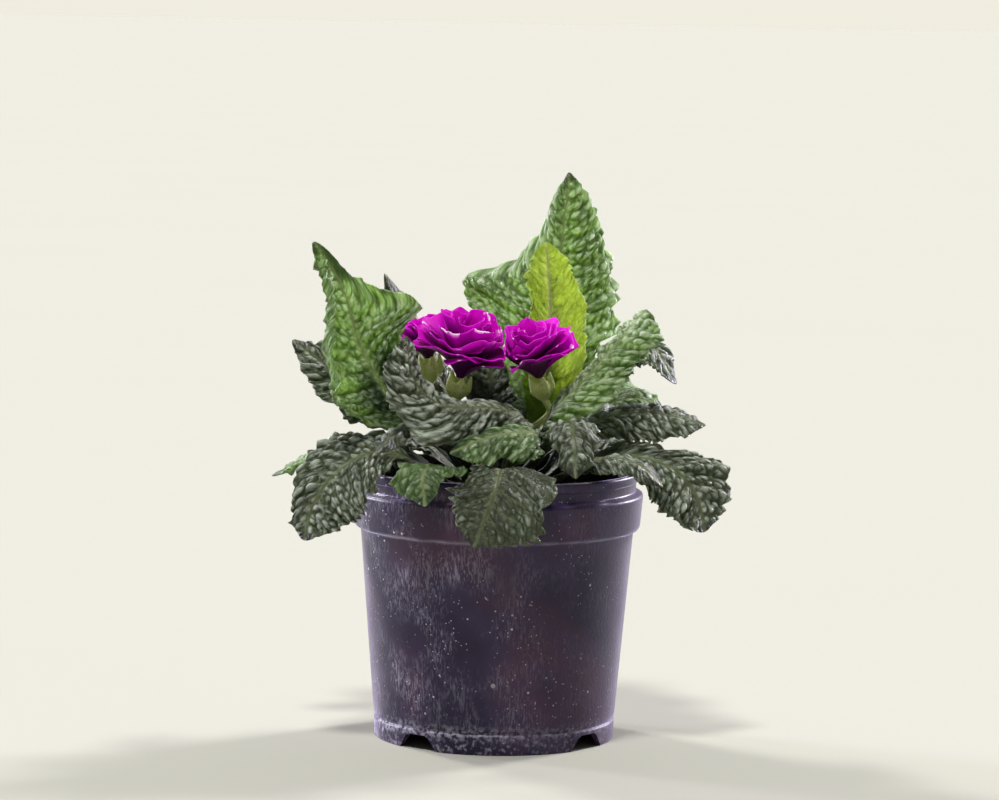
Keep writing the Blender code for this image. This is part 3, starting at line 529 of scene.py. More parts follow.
def bladeSheet(leaf, s, w, seed):
    # the upper face, its veins from 0 to 1, and its flat map; s from root to tip, w across
    lineT, middle, side, up, length = midribFrame(leaf)
    span, hand = np.abs(w), np.sign(w)
    rows = leaf["rows"] * s ** (1 / 0.92)
    t = s + blade["veinSweep"] * span**1.3 * s * (1 - s) * smoothstep(s, 0, 0.4)
    (left, leftRoll), (right, rightRoll) = halfProfile(leaf["left"], t), halfProfile(leaf["right"], t)
    roll = np.where(w < 0, leftRoll, rightRoll)
    half = np.where(w < 0, left, right)
    broad = smoothstep(half, 2.5, 7)
    run = s * length + 40 * (hand + 1)  # gives each half its own pattern
    onBlade = smoothstep(s, 0.15, 0.4) * smoothstep(1 - s, 0.0, 0.15)

    # the edge: large irregular teeth, and small ones on them
    jags = noise(run / blade["jagLength"], 0 * run, seed)
    place = run / blade["toothLength"] + 0.8 * noise(run / 9, 0 * run, seed + 8)
    teeth = (1 - np.abs(2 * (place % 1) - 1)) * (0.55 + 0.45 * noise(run / 5, 0 * run, seed + 9))
    edge = (blade["jag"] * jags + 2 * blade["toothDepth"] * (teeth - 0.3)) * broad * span**8
    edge = edge * leaf["jagged"]
    half = half * (1 + blade["tooth"] * span**6 * np.cos(math.pi * rows))
    half = half + edge * smoothstep(1 - t, 0, 0.1)
    away = half * span

    cup = math.radians(leaf["cup"]) * smoothstep(t, 0.1, 0.4)
    steps = 12
    across = height = 0
    for k in range(steps):
        slope = cup + roll * (span * (k + 0.5) / steps) ** 1.4
        across = across + half * span / steps * np.cos(slope)
        height = height + half * span / steps * np.sin(slope)
    edgeSlope = cup + roll * span**1.4

    # relief: broad puckers, grooves along the side veins, cushions between the smaller veins
    puckers = blade["pucker"] * onBlade * np.clip(half / 15, 0, 1)
    puckers = puckers * np.clip(1 - (2 * span - 1.05) ** 2, 0, 1)
    wave = np.sin(2 * math.pi * blade["ruffleWaves"] * t + 1.9 * hand + leaf["root"][0])
    relief = puckers * np.cos(math.pi * rows) + leaf["ruffle"] * onBlade * span**3 * wave
    # side veins run from the midrib to the edge and wander a little
    phase = run / blade["sideVein"] + 0.3 * noise(away / 6, run / 9, seed + 2)
    fromVein = np.abs((phase % 1) - 0.5) * 2  # 1 on a vein, 0 halfway between two
    sideVein = smoothstep(fromVein, 0.7, 1.0) * smoothstep(away, 0.3, 2.0) * broad
    inside = cells(away / blade["cell"] + blade["halfApart"] * hand, run / blade["cell"] * 1.1, seed + 4)
    cushion = np.clip(inside / 0.75, 0, 1) ** 0.75
    rib = 1 - fromVein**2.4
    amount = leaf["crinkle"] * broad * smoothstep(s, 0.12, 0.3) * smoothstep(away, 0, 3)
    amount = amount * (0.8 + 0.4 * noise(away / 9, run / 9, seed + 5))
    bulge = (1 - blade["cellShare"]) * rib + blade["cellShare"] * cushion
    relief = relief + amount * (blade["ribHeight"] * (rib - 0.6) + blade["cellHeight"] * (cushion - 0.5))
    # the edge is crisped in shorter waves
    crisp = np.sin(run / blade["crispLength"] + 2 * noise(run / 12, away * 0, seed + 6))
    crisp = crisp + 0.5 * np.sin(run / 0.83 + seed)
    relief = relief + blade["crisp"] * broad * span**4 * crisp * smoothstep(1 - s, 0.0, 0.12)
    # the midrib lies in a groove
    midrib = np.exp(-((away / (0.6 + 1.5 * (1 - s))) ** 2))
    relief = relief - blade["grooveDepth"] * broad * midrib
    across = across - relief * np.sin(edgeSlope)
    height = height + relief * np.cos(edgeSlope)

    def at(line):
        return np.stack([np.interp(np.clip(t, 0, 1), lineT, line[:, k]) for k in range(3)], axis=-1)

    points = at(middle) + at(side) * (hand * across)[..., None] + at(up) * height[..., None]
    net = (1 - smoothstep(inside, 0.0, blade["netWidth"])) * (0.35 + 0.65 * (1 - span))
    veins = np.maximum(np.maximum(midrib, 0.75 * sideVein * (1 - 0.6 * span)), 0.4 * net * broad)
    # painted shade: the colour darkens towards the crown's hollow
    fromCrownShade = np.linalg.norm((points - blade["crownShade"]) / blade["crownShadeSize"], axis=-1)
    layers = {
        "vein": veins,
        "bulge": bulge * broad * (0.45 + 0.55 * leaf["crinkle"]),
        "margin": span**10,
        "stalk": 1 - smoothstep(s, 0.12, 0.42),
        "crownShade": blade["crownShadeStrength"] * (1 - smoothstep(fromCrownShade, 0.6, 1.15)),
    }
    # painted shade in a leaf's fold, added to the shade round the crown
    if "foldShade" in leaf:
        centre, size = leaf["foldShade"]
        inFoldShade = 1 - smoothstep(np.linalg.norm((points - centre) / size, axis=-1), 0.3, 1.3)
        layers["crownShade"] = np.maximum(layers["crownShade"], 0.9 * inFoldShade * (1 - midrib))
    return points, layers, np.stack([away + blade["halfApart"] * hand, run], axis=-1)


def makeBlade(node, leaf, seed, upper, under, coarse):
    *_, length = midribFrame(leaf)
    widest = max(width for _, width, _ in leaf["left"] + leaf["right"])
    countAlong = round(length / (blade["gridAlong"] * coarse))
    countAcross = 2 * round(widest / (blade["gridAcross"] * coarse))
    along, across = np.linspace(0, 1, countAlong + 1) ** 0.95, np.linspace(-1, 1, countAcross + 1)
    s, w = np.meshgrid(along, across, indexing="ij")
    points, layers, flat = bladeSheet(leaf, s, w, seed)
    name = node.replace("leaf_", "blade_")
    piece = placeObject(name, gridMesh(name, points, layers, flat), upper, under)
    stalk = (1 - smoothstep(s, 0.1, 0.32)) * np.sqrt(1 - np.abs(w) ** 2.2) * 0.75
    fromMidrib = flat[..., 0] - blade["halfApart"] * np.sign(w)
    keel = np.exp(-((fromMidrib / (0.7 + 0.7 * (1 - s))) ** 2)) * (1 - s) ** 0.7
    weights = np.clip(np.maximum(stalk, keel), 0, 1)
    makeSolid(piece, blade["thin"], -1, (blade["keel"], weights))
    return finishPiece(piece, leaf["kind"], node)


leafLooks = {  # the darkest colour is painted shade in the valleys, and the palest a painted silvery highlight on the cushions' tops; shade: how much of the glow is left in the valleys, a painted shade in the light let through
    "leaf_dark": dict(
        deep=(0.008, 0.014, 0.008), middle=(0.070, 0.100, 0.050), top=(0.62, 0.70, 0.60),
        vein=(0.26, 0.31, 0.15), glow=(0.22, 0.40, 0.03), through=0.20, shade=0.3),
    "leaf_green": dict(
        deep=(0.008, 0.042, 0.010), middle=(0.150, 0.300, 0.090), top=(0.90, 0.98, 0.80),
        vein=(0.46, 0.56, 0.26), glow=(0.72, 1.0, 0.34), through=0.45, shade=0.35),
    "leaf_young": dict(
        deep=(0.22, 0.38, 0.025), middle=(0.36, 0.60, 0.06), top=(0.70, 0.90, 0.32),
        vein=(0.92, 0.98, 0.60), glow=(0.86, 1.0, 0.26), through=0.62, shade=0.75),
}
leafGloss = dict(
    netSize=1.3, netRelief=0.22, blisterSize=3.0, blisterRelief=0.9,
    shadePatchNoise=(7.0, 0.42, 0.62, 3.0), shadePatch=0.5, stalk=(0.12, 0.16, 0.06),
    fromValley=(0.32, 0.74), toHighlight=(0.66, 1.02), glowing=(0.36, 0.90),  # heights from and to
    shader={"Specular IOR Level": 0.5, "Coat Roughness": 0.3},
)
leafFaces = {  # the under face is paler, with its veins raised, and takes less of the painted highlight
    "upper": dict(light=1.0, lift=0.0, highlightShare=0.95, net=0.08, vein=0.8, side=1.0, roughness=0.32, coat=0.22),
    "under": dict(light=1.5, lift=0.02, highlightShare=0.55, net=0.24, vein=1.0, side=-1.0, roughness=0.46, coat=0.088),
}


def leafMaterial(kind, face):
    material, tree, shader = newMaterial(f"{kind}_{face}")
    look, gloss, face = leafLooks[kind], leafGloss, leafFaces[face]
    flat = flatMap(tree)
    net = useGroup(tree, veinNet, {"Map": flat, "Cell Size": gloss["netSize"]})
    blisters = useGroup(tree, veinNet, {"Map": flat, "Cell Size": gloss["blisterSize"]})
    vein, bulge, crownShade = (readLayer(tree, name) for name in ("vein", "bulge", "crownShade"))
    # painted shade darkens the valleys and a painted silvery highlight lightens the tops of the cushions
    raised = calculate("MULTIPLY_ADD", blisters["Height"], 0.35, times(bulge, 0.75))
    raised = calculate("MULTIPLY_ADD", net["Patches"], 0.22, raised)
    middle = tuple(c * face["light"] + face["lift"] for c in look["middle"])
    colour = mixed(spread(raised, *gloss["fromValley"]), look["deep"], middle)
    colour = mixed(times(spread(raised, *gloss["toHighlight"]), face["highlightShare"]), colour, look["top"])
    # painted shade: broad patches are darker than the rest
    shadePatch = times(patches(flat, gloss["shadePatchNoise"]), gloss["shadePatch"])
    colour = mixed(shadePatch, colour, look["deep"])
    colour = mixed(times(net["Net"], face["net"]), colour, look["vein"])
    colour = mixed(calculate("MULTIPLY", vein, face["vein"], clamp=True), colour, look["vein"])
    margin = tuple(0.5 * (a + b) for a, b in zip(look["middle"], look["vein"]))
    colour = mixed(times(readLayer(tree, "margin"), 0.35), colour, margin)
    # painted shade: the leaf stalks take a dark colour, for the shade round the crown
    colour = mixed(readLayer(tree, "stalk"), colour, gloss["stalk"])
    # painted shade round the crown and in the fold of a leaf
    colour = mixed(crownShade, colour, look["deep"])
    coarse = bumped(times(blisters["Height"], face["side"]), gloss["blisterRelief"])
    normal = bumped(times(net["Height"], face["side"]), gloss["netRelief"], Normal=coarse)
    feed(shader, {
        "Base Color": colour,
        "Roughness": calculate("MULTIPLY_ADD", net["Patches"], 0.16, face["roughness"]),
        "Normal": normal,
        "Coat Weight": face["coat"],
        **gloss["shader"],
    })
    glow = mixed(times(vein, 0.7), look["glow"], look["vein"])
    glow = mixed(net["Net"], glow, tuple(c * 0.75 for c in look["glow"]))
    # painted shade: less of the light let through shows in the valleys
    shaded = tuple(c * look["shade"] for c in look["glow"])
    glow = mixed(spread(raised, *gloss["glowing"]), shaded, glow)
    # painted shade round the crown in the light let through as well
    letThrough(tree, look["through"], mixed(crownShade, glow, look["deep"]), Normal=normal)
    return material


hiddenFromFront = ("leaf_back_a", "leaf_back_b", "leaf_back_c", "leaf_back_d", "leaf_rear_left")


def makeLeaves():
    faces = {kind: (leafMaterial(kind, "upper"), leafMaterial(kind, "under")) for kind in leafLooks}
    for number, (node, leaf) in enumerate(leaves.items()):
        coarse = blade["hiddenGrid"] if node in hiddenFromFront else 1.0
        makeBlade(node, leaf, blade["firstSeed"] + number, *faces[leaf["kind"]], coarse)
        print("leaf", node)


makeLeaves()

# Blooms: the eye, the way each faces, its radius, its stalk's root and the neighbours that press on it

blooms = {
    "bloom_middle": dict(
        eye=(-14, -10.5, 131.5), facing=(0.2, -0.26, 1), radius=21.5, root=(-125, 77),
        neighbours=["bloom_right", "bloom_left"], seed=2,
    ),
    "bloom_right": dict(
        eye=(14, -6, 131.5), facing=(-0.24, -0.26, 1), radius=18.5, root=(-20, 77),
        neighbours=["bloom_middle"], seed=5,
    ),
    "bloom_left": dict(
        eye=(-26, 16, 136), facing=(-0.14, -0.15, 1), radius=13.5, root=(150, 77),
        neighbours=["bloom_middle"], seed=12,
    ),
}
whorls = [  # petals, length and half width as shares of the radius, rise at foot and edge in degrees
    (5, 1.05, 0.96, 62, 14),
    (4, 1.14, 0.95, 68, 34),
    (3, 1.10, 0.80, 84, 66),
]
extraWhorls = [(3, 1.10, 0.85, 74, 58)]
petal = dict(
    thickness=0.3, press=5.0, rows=34, columns=44, frill=1.5, fineFrill=0.8, pleat=0.2,
    rimWidth=1.5, nick=0.045, lean=5, lift=0.09, foot=(1.2, -0.8),
)


def bloomFrame(bloom):
    out = unit(np.array(bloom["facing"], float))
    first = unit(np.cross([0, 1, 0], out))
    return np.array(bloom["eye"], float), first, np.cross(out, first), out


def roundBloom(bloom, radius, angle, height):
    eye, first, second, out = bloomFrame(bloom)
    points = eye + (radius * np.cos(angle))[..., None] * first
    return points + (radius * np.sin(angle))[..., None] * second + height[..., None] * out


def press(points, bloom):
    # where two blooms meet, both give way
    eye = np.array(bloom["eye"], float)
    rest = petal["thickness"] / 2 + clearance
    for name in bloom["neighbours"]:
        other = blooms[name]
        way = np.array(other["eye"], float) - eye
        reach = np.linalg.norm(way)
        way = way / reach
        meeting = reach * bloom["radius"] / (bloom["radius"] + other["radius"])
        beyond = (points - eye) @ way - meeting
        room = petal["press"] - rest
        pressed = -rest - room * np.exp(-(beyond + petal["press"]) / room)
        given = np.where(beyond > -petal["press"], pressed, beyond)
        points = points + (given - beyond)[..., None] * way
    return points


def petalSheet(bloom, whorl, turn, draw):
    _, length, width, riseFoot, riseEdge = whorl
    radius = bloom["radius"]
    s, w = np.meshgrid(
        1 - np.linspace(1, 0, petal["rows"] + 1) ** 1.25,
        np.sin(np.linspace(-1.5, 1.5, petal["columns"] + 1)) / np.sin(1.5),
        indexing="ij",
    )
    wave = draw.uniform(0, 2 * math.pi)
    lean = draw.uniform(-petal["lean"], petal["lean"])
    seed = int(wave * 1000)
    notch = 1 - 0.08 * np.exp(-((w / 0.3) ** 2)) - 0.1 * np.abs(w) ** 3
    notch = notch + petal["nick"] * noise(w * 5, 0 * w, seed) * s**3
    run = s * length * radius * notch
    rise = np.radians(riseFoot + (riseEdge - riseFoot) * s / 2 + lean)
    out = petal["foot"][0] + run * np.cos(rise)
    up = petal["foot"][1] + run * np.sin(rise)
    frill = s**2 * petal["frill"] * (np.sin(3.6 * w + wave) + 0.4 * np.sin(8 * w + 2 * wave))
    frill = frill + petal["fineFrill"] * s**4 * noise(w * 6.5, s * 1.5, seed + 1)
    frill = frill + petal["pleat"] * s * noise(w * 16, s * 2, seed + 2)
    up = up + frill * np.cos(rise) + petal["lift"] * radius * w * s
    out = out - frill * np.sin(rise)
    half = width * radius * np.sin(np.clip(0.25 + 1.5 * s, 0, 1.5))
    angle = turn + w * half / (np.abs(out) + 0.2 * radius)
    points = roundBloom(bloom, out, angle, up)
    fromEdge = np.minimum((1 - s) * length * radius, (1 - np.abs(w)) * half)
    layers = {
        "rim": np.exp(-((fromEdge / petal["rimWidth"]) ** 2)) * smoothstep(s, 0.5, 0.8),
        "throat": 1 - smoothstep(s, 0.0, 0.3),
        "depth": s,
    }
    flat = np.stack([w * half * 0.45 + 50, s * 3], axis=-1)
    return press(points, bloom), layers, flat


def makePetals(name, bloom, outside, inside):
    draw = np.random.default_rng(bloom["seed"])
    more = np.random.default_rng(bloom["seed"] + 100)
    sheets = []

    def addWhorl(whorl, start, loose, source):
        for index in range(whorl[0]):
            angle = start + 2 * math.pi * index / whorl[0] + source.uniform(-loose, loose)
            sheets.append(petalSheet(bloom, whorl, angle, source))

    turn = draw.uniform(0, 1)
    for whorl in whorls:
        addWhorl(whorl, turn, 0.1, draw)
        turn += math.pi / whorl[0] + 0.3
    for whorl in extraWhorls:
        addWhorl(whorl, more.uniform(0, 1), 0.15, more)
    meshes = []
    for number, sheet in enumerate(sheets):
        label = f"{name}_petal_{number}"
        single = placeObject(label, gridMesh(label, *sheet), outside, inside)
        makeSolid(single, petal["thickness"], 0)
        meshes.append(single.data)
        bpy.data.objects.remove(single)
    piece = placeObject(name, joinMeshes(name, meshes), outside, inside)
    return finishPiece(piece, "petal", name.replace("petals", "bloom"))


petalLooks = dict(
    inside=(0.95, 0.008, 0.80), insideDeep=(0.68, 0.002, 0.66), insideThrough=0.58,
    # the outside colours are painted shade, for the petals' backs lying in the bloom's shade
    outside=(0.075, 0.001, 0.085), outsideDeep=(0.016, 0.0005, 0.022), outsideThrough=0.18,
    glow=(1.0, 0.006, 0.90), rim=(0.95, 0.88, 0.93), throat=(0.50, 0.42, 0.10),
    netSize=0.55, thread=0.25, streakSize=90.0, rimNoise=(150.0, 0.625, 0.65, 2.0),
    relief=0.25, roughness=(0.4, 0.6),
    shader={"Specular IOR Level": 0.15, "Sheen Weight": 0.06, "Sheen Roughness": 0.4,
            "Sheen Tint": (0.95, 0.45, 1.0)},
)


def petalMaterial(face):
    look = petalLooks
    material, tree, shader = newMaterial("petal_" + face)
    flat, depth = flatMap(tree), readLayer(tree, "depth")
    net = useGroup(tree, veinNet, {"Map": flat, "Cell Size": look["netSize"]})
    streaks = cloud(flat, look["streakSize"], 4.0, 0.6)
    shade = calculate("MULTIPLY_ADD", depth, 0.6, times(spread(streaks, 0.38, 0.62), 0.7), clamp=True)
    colour = mixed(shade, look[face + "Deep"], look[face])
    thread = times(net["Net"], look["thread"])
    colour = mixed(thread, colour, look[face + "Deep"])
    if face == "inside":
        colour = mixed(readLayer(tree, "throat"), colour, look["throat"])
    else:
        # painted shade: the outside is dark, darkest at its foot, and takes the lit colour only near its edge
        colour = mixed(spread(depth, 0.62, 1.0, 0.0, 0.8), colour, look["insideDeep"])
    # the pale edge shows only here and there
    rim = times(readLayer(tree, "rim"), patches(ownPlace(tree), look["rimNoise"]))
    normal = bumped(streaks, look["relief"])
    feed(shader, {
        "Base Color": mixed(rim, colour, look["rim"]),
        "Roughness": spread(streaks, 0.3, 0.7, *look["roughness"]),
        "Normal": normal,
        **look["shader"],
    })
    glow = mixed(rim, mixed(thread, look["glow"], look["insideDeep"]), look["rim"])
    letThrough(tree, look[face + "Through"], glow, Normal=normal)
    return material


def makeBlooms():
    inside, outside = petalMaterial("inside"), petalMaterial("outside")
    for node, bloom in blooms.items():
        makePetals(node.replace("bloom", "petals"), bloom, outside, inside)
        print("bloom", node)


makeBlooms()

# Flower stalks, each with its calyx

stalk = dict(
    radius=1.25, steps=60, sides=20, reach=6,
    tubeLength=7.0, calyxBase=2.5, mouth=-2.4, mouthRadius=3.25, teeth=3.2, ribs=0.12, calyxSides=60,
)
stalkLook = dict(
    size=0.9, dark=(0.40, 0.48, 0.11), light=(0.75, 0.80, 0.40), relief=0.2,
    glow=(0.62, 0.75, 0.20), through=0.25,
    shader={"Roughness": 0.5, "Sheen Weight": 0.3, "Sheen Tint": (0.9, 1.0, 0.8)},
)


def sweepTube(path, radii, sides):
    along = unit(np.gradient(path, axis=0))
    side, up = carrySide(unit(np.cross(along[0], [0.3, 1, 0.2])), along)
    turn = np.linspace(0, 2 * math.pi, sides, endpoint=False)[None, :, None]
    ring = np.cos(turn) * side[:, None] + np.sin(turn) * up[:, None]
    return path[:, None] + ring * radii.reshape(-1, 1, 1)


def capEnds(mesh):
    shape = bmesh.new()
    shape.from_mesh(mesh)
    bmesh.ops.holes_fill(shape, edges=[edge for edge in shape.edges if edge.is_boundary], sides=0)
    return keepShape(shape, mesh)


def makeStalk(node, bloom, material):
    name = node.replace("bloom", "stem")
    steps, mouth, radius = stalk["steps"], stalk["mouth"], stalk["mouthRadius"]
    eye, _, _, out = bloomFrame(bloom)
    foot = eye - (stalk["tubeLength"] + stalk["calyxBase"] - 0.8) * out
    start, after = fromCrown(bloom["root"], [], stalk["reach"])
    path, _ = smoothPath([start, after, foot - 7 * out, foot], steps)
    swell = 1 + 0.12 * np.cos(np.linspace(0, 5, steps))
    swell = swell + 0.25 * smoothstep(np.linspace(0, 1, steps), 0.15, 0.0)
    tube = gridMesh(name + "_stem", sweepTube(path, stalk["radius"] * swell, stalk["sides"]), closed=True)
    # the calyx: a ribbed cup with five pointed teeth; radius, height and share of the teeth's height
    turn = np.linspace(0, 2 * math.pi, stalk["calyxSides"], endpoint=False)[None, :]
    fifth = np.cos(5 * turn)
    tooth = np.clip(fifth, -0.4, 1) * 0.5 + 0.2
    fine, _ = smoothPath([
        (0.3, -7.3, 0), (2.2, -7.2, 0), (radius - 0.35, -4.0, 0), (radius, mouth, 0.9),
        (radius + 0.35, mouth + 0.5, 1), (radius + 0.75, mouth - 0.2, 0.9),
        (radius + 1.15, -4.2, 0), (radius + 1.0, -5.8, 0), (3.2, -7.6, 0), (2.2, -8.9, 0),
        (stalk["radius"] * 0.9, -9.7, 0), (0.3, -9.8, 0),
    ], steps)
    away, height, teeth = fine[:, :1], fine[:, 1:2], fine[:, 2:3]
    away = away * (1 + stalk["ribs"] * fifth * smoothstep(away, 2.6, 4.0))
    height = height + stalk["teeth"] * tooth * teeth
    calyx = gridMesh(name + "_calyx", roundBloom(bloom, away, turn, height)[::-1], closed=True)
    whole = joinMeshes(name, [capEnds(tube), capEnds(calyx)])
    whole.shade_smooth()
    piece = placeObject(name, whole, material)
    return finishPiece(piece, "flower_stalk", node.replace("bloom", "flower_stalk"))


def stalkMaterial():
    look = stalkLook
    material, tree, shader = newMaterial("flower_stalk_green")
    down = useGrit(tree, look)
    feed(shader, {
        "Base Color": down["Color"],
        "Normal": bumped(down["Height"], look["relief"], 0.7),
        **look["shader"],
    })
    letThrough(tree, look["through"], look["glow"])
    return material


def makeStalks():
    material = stalkMaterial()
    for node, bloom in blooms.items():
        makeStalk(node, bloom, material)
        print("stalk for", node)


makeStalks()

# Pot

pot = dict(
    height=97.0, wall=1.3, segments=192,
    footRadius=43.3, footHeight=7.0, footWall=2.2, bodyFoot=43.6, bodyTop=49.2,
    bandLow=75.6, bandHigh=89.4, bandRadius=52.5, neck=49.9, lip=50.9, lipLow=93.4, floorLow=5.9,
    notches=4, firstNotch=-129.0, notchHeight=5.4, notchLow=19.0, notchHigh=9.0,
    drainRadius=3.6, drainCircle=33.0, corner=0.6,
)
potLook = dict(
    plastic=(0.015, 0.008, 0.033), faded=(0.044, 0.030, 0.080), rust=(0.072, 0.022, 0.038),
    lime=(0.42, 0.41, 0.50), speck=(0.88, 0.86, 0.92), roughness=(0.28, 0.44), grain=0.12,
    shader={"Specular IOR Level": 0.26, "Sheen Weight": 0.9, "Sheen Roughness": 0.25,
            "Sheen Tint": (0.74, 0.66, 1.0)},
    fadedNoise=(28.0, 0.40, 0.72), rustNoise=(26.0, 0.50, 0.68, 5.0), glossNoise=(70.0, 0.3, 0.7),
    jointNoise=(650.0, 0.44, 0.60, 7.0), footNoise=(650.0, 0.52, 0.66, 8.0),
    edgeNoise=(120.0, 0.36, 0.60, 5.0), dripNoise=(60.0, 0.42, 0.64), speckNoise=(35.0, 0.42, 0.58, 2.0),
    rustMost=0.55, footMost=0.8, speckMost=0.8,
    # how strong each is on the right and on the left, the more weathered side
    dripShare=(0.07, 0.58), speckShare=(0.45, 1.0), limeShare=(0.25, 0.95), wornShare=(0.18, 0.60),
    stretch=0.22,  # of the drips, up and down
    drips=((600.0, 0.56, 0.70), (1200.0, 0.53, 0.67), (2300.0, 0.53, 0.65)),
    # scale, share of the cells that stay empty, and size
    specks=((130.0, 0.90, 0.08), (330.0, 0.91, 0.11), (620.0, 0.93, 0.14), (1100.0, 0.90, 0.18)),
)


def roundCorners(profile, radius, steps=4):
    # each inner corner becomes a short curve
    points = [np.array(profile[0], float)]
    for before, corner, after in zip(profile, profile[1:], profile[2:]):
        before, corner, after = (np.array(p, float) for p in (before, corner, after))
        back, on = before - corner, after - corner
        r = min(radius, 0.42 * np.linalg.norm(back), 0.42 * np.linalg.norm(on))
        start, end = corner + unit(back) * r, corner + unit(on) * r
        for k in range(steps):
            t = k / (steps - 1)
            points.append((1 - t) ** 2 * start + 2 * t * (1 - t) * corner + t**2 * end)
    return np.array([*points, profile[-1]])


def fillIn(profile, longest):
    # more points along the straight parts of a profile
    result = []
    for a, b in zip(profile, profile[1:]):
        count = max(1, math.ceil(np.linalg.norm(b - a) / longest))
        result += [a + (b - a) * k / count for k in range(count)]
    return np.array([*result, profile[-1]])


def turned(name, profile, segments):
    # a solid of revolution; the profile runs down its outer side and ends on the axis
    angle = np.linspace(0, 2 * math.pi, segments, endpoint=False)
    radius, height = profile[:, :1], profile[:, 1:]
    points = np.stack([radius * np.cos(angle), radius * np.sin(angle), height + 0 * angle], axis=-1)
    mesh = gridMesh(name, points, closed=True)
    shape = bmesh.new()
    shape.from_mesh(mesh)
    bmesh.ops.remove_doubles(shape, verts=shape.verts, dist=0.001 * mm)
    return keepShape(shape, mesh)


def notchShape():
    shape = bmesh.new()
    bmesh.ops.create_cube(shape, size=1)
    for vertex in shape.verts:
        upper = vertex.co.z > 0
        vertex.co.x = pot["footRadius"] + 10 * vertex.co.x
        vertex.co.y *= pot["notchHigh"] if upper else pot["notchLow"]
        vertex.co.z = pot["notchHeight"] if upper else -1.0
    corners = [edge for edge in shape.edges if abs(edge.verts[0].co.x - edge.verts[1].co.x) > 5]
    bmesh.ops.bevel(shape, geom=corners, offset=0.7, segments=3, affect="EDGES")
    return shape


def drainShape():
    shape = bmesh.new()
    bmesh.ops.create_cone(
        shape, cap_ends=True, segments=40, radius1=pot["drainRadius"], radius2=pot["drainRadius"],
        depth=10, matrix=Matrix.Translation((pot["drainCircle"], 0, pot["floorLow"])),
    )
    return shape


def makePot():
    radii = "footRadius bodyFoot bodyTop bandRadius neck lip wall"
    heights = "height bandLow bandHigh lipLow floorLow footHeight"
    foot, bodyFoot, bodyTop, band, neck, lip, wall = (pot[key] for key in radii.split())
    top, low, high, lipLow, floor, footTop = (pot[key] for key in heights.split())
    footIn = foot - pot["footWall"]
    profile = [
        (0, floor + wall), (bodyFoot - wall, floor + wall), (bodyTop - wall, low), (neck - wall, low + 4),
        (neck - wall, top), (lip - 0.3, top), (lip, top - 0.6), (lip, lipLow + 0.3), (neck, lipLow),
        (neck, high + 0.5), (band - 0.3, high - 0.3), (band, high - 1.2), (band - 0.9, low + 2.0),
        (band - 1.3, low + 0.7), (bodyTop, low), (bodyFoot, footTop + 1.5), (foot - 0.5, footTop + 0.5),
        (foot + 0.2, footTop - 0.3), (foot, 0), (footIn, 0), (footIn - 0.2, floor), (0, floor),
    ]
    mesh = turned("plastic_pot", roundCorners(profile, pot["corner"]), pot["segments"])
    body = placeObject("plastic_pot", mesh)
    cutters = []
    for index in range(pot["notches"]):
        turn = Matrix.Rotation(math.radians(pot["firstNotch"] + 360 * index / pot["notches"]), 4, "Z")
        for shape in (notchShape(), drainShape()):
            cutter = placeObject("cutter", keepShape(shape, bpy.data.meshes.new("cutter")))
            cutter.data.transform(turn @ Matrix.Scale(mm, 4))
            cut = body.modifiers.new("cut", "BOOLEAN")
            cut.operation = "DIFFERENCE"
            cut.solver = "EXACT"
            cut.object = cutter
            cutters.append(cutter)
    applyModifiers(body)
    for cutter in cutters:
        bpy.data.objects.remove(cutter)
    body.data.shade_smooth()
    body.data.set_sharp_from_angle(angle=math.radians(32))
    body.data.materials.clear()
    body.data.materials.append(potMaterial())
    return finishPiece(body, "pot_plastic", "pot")


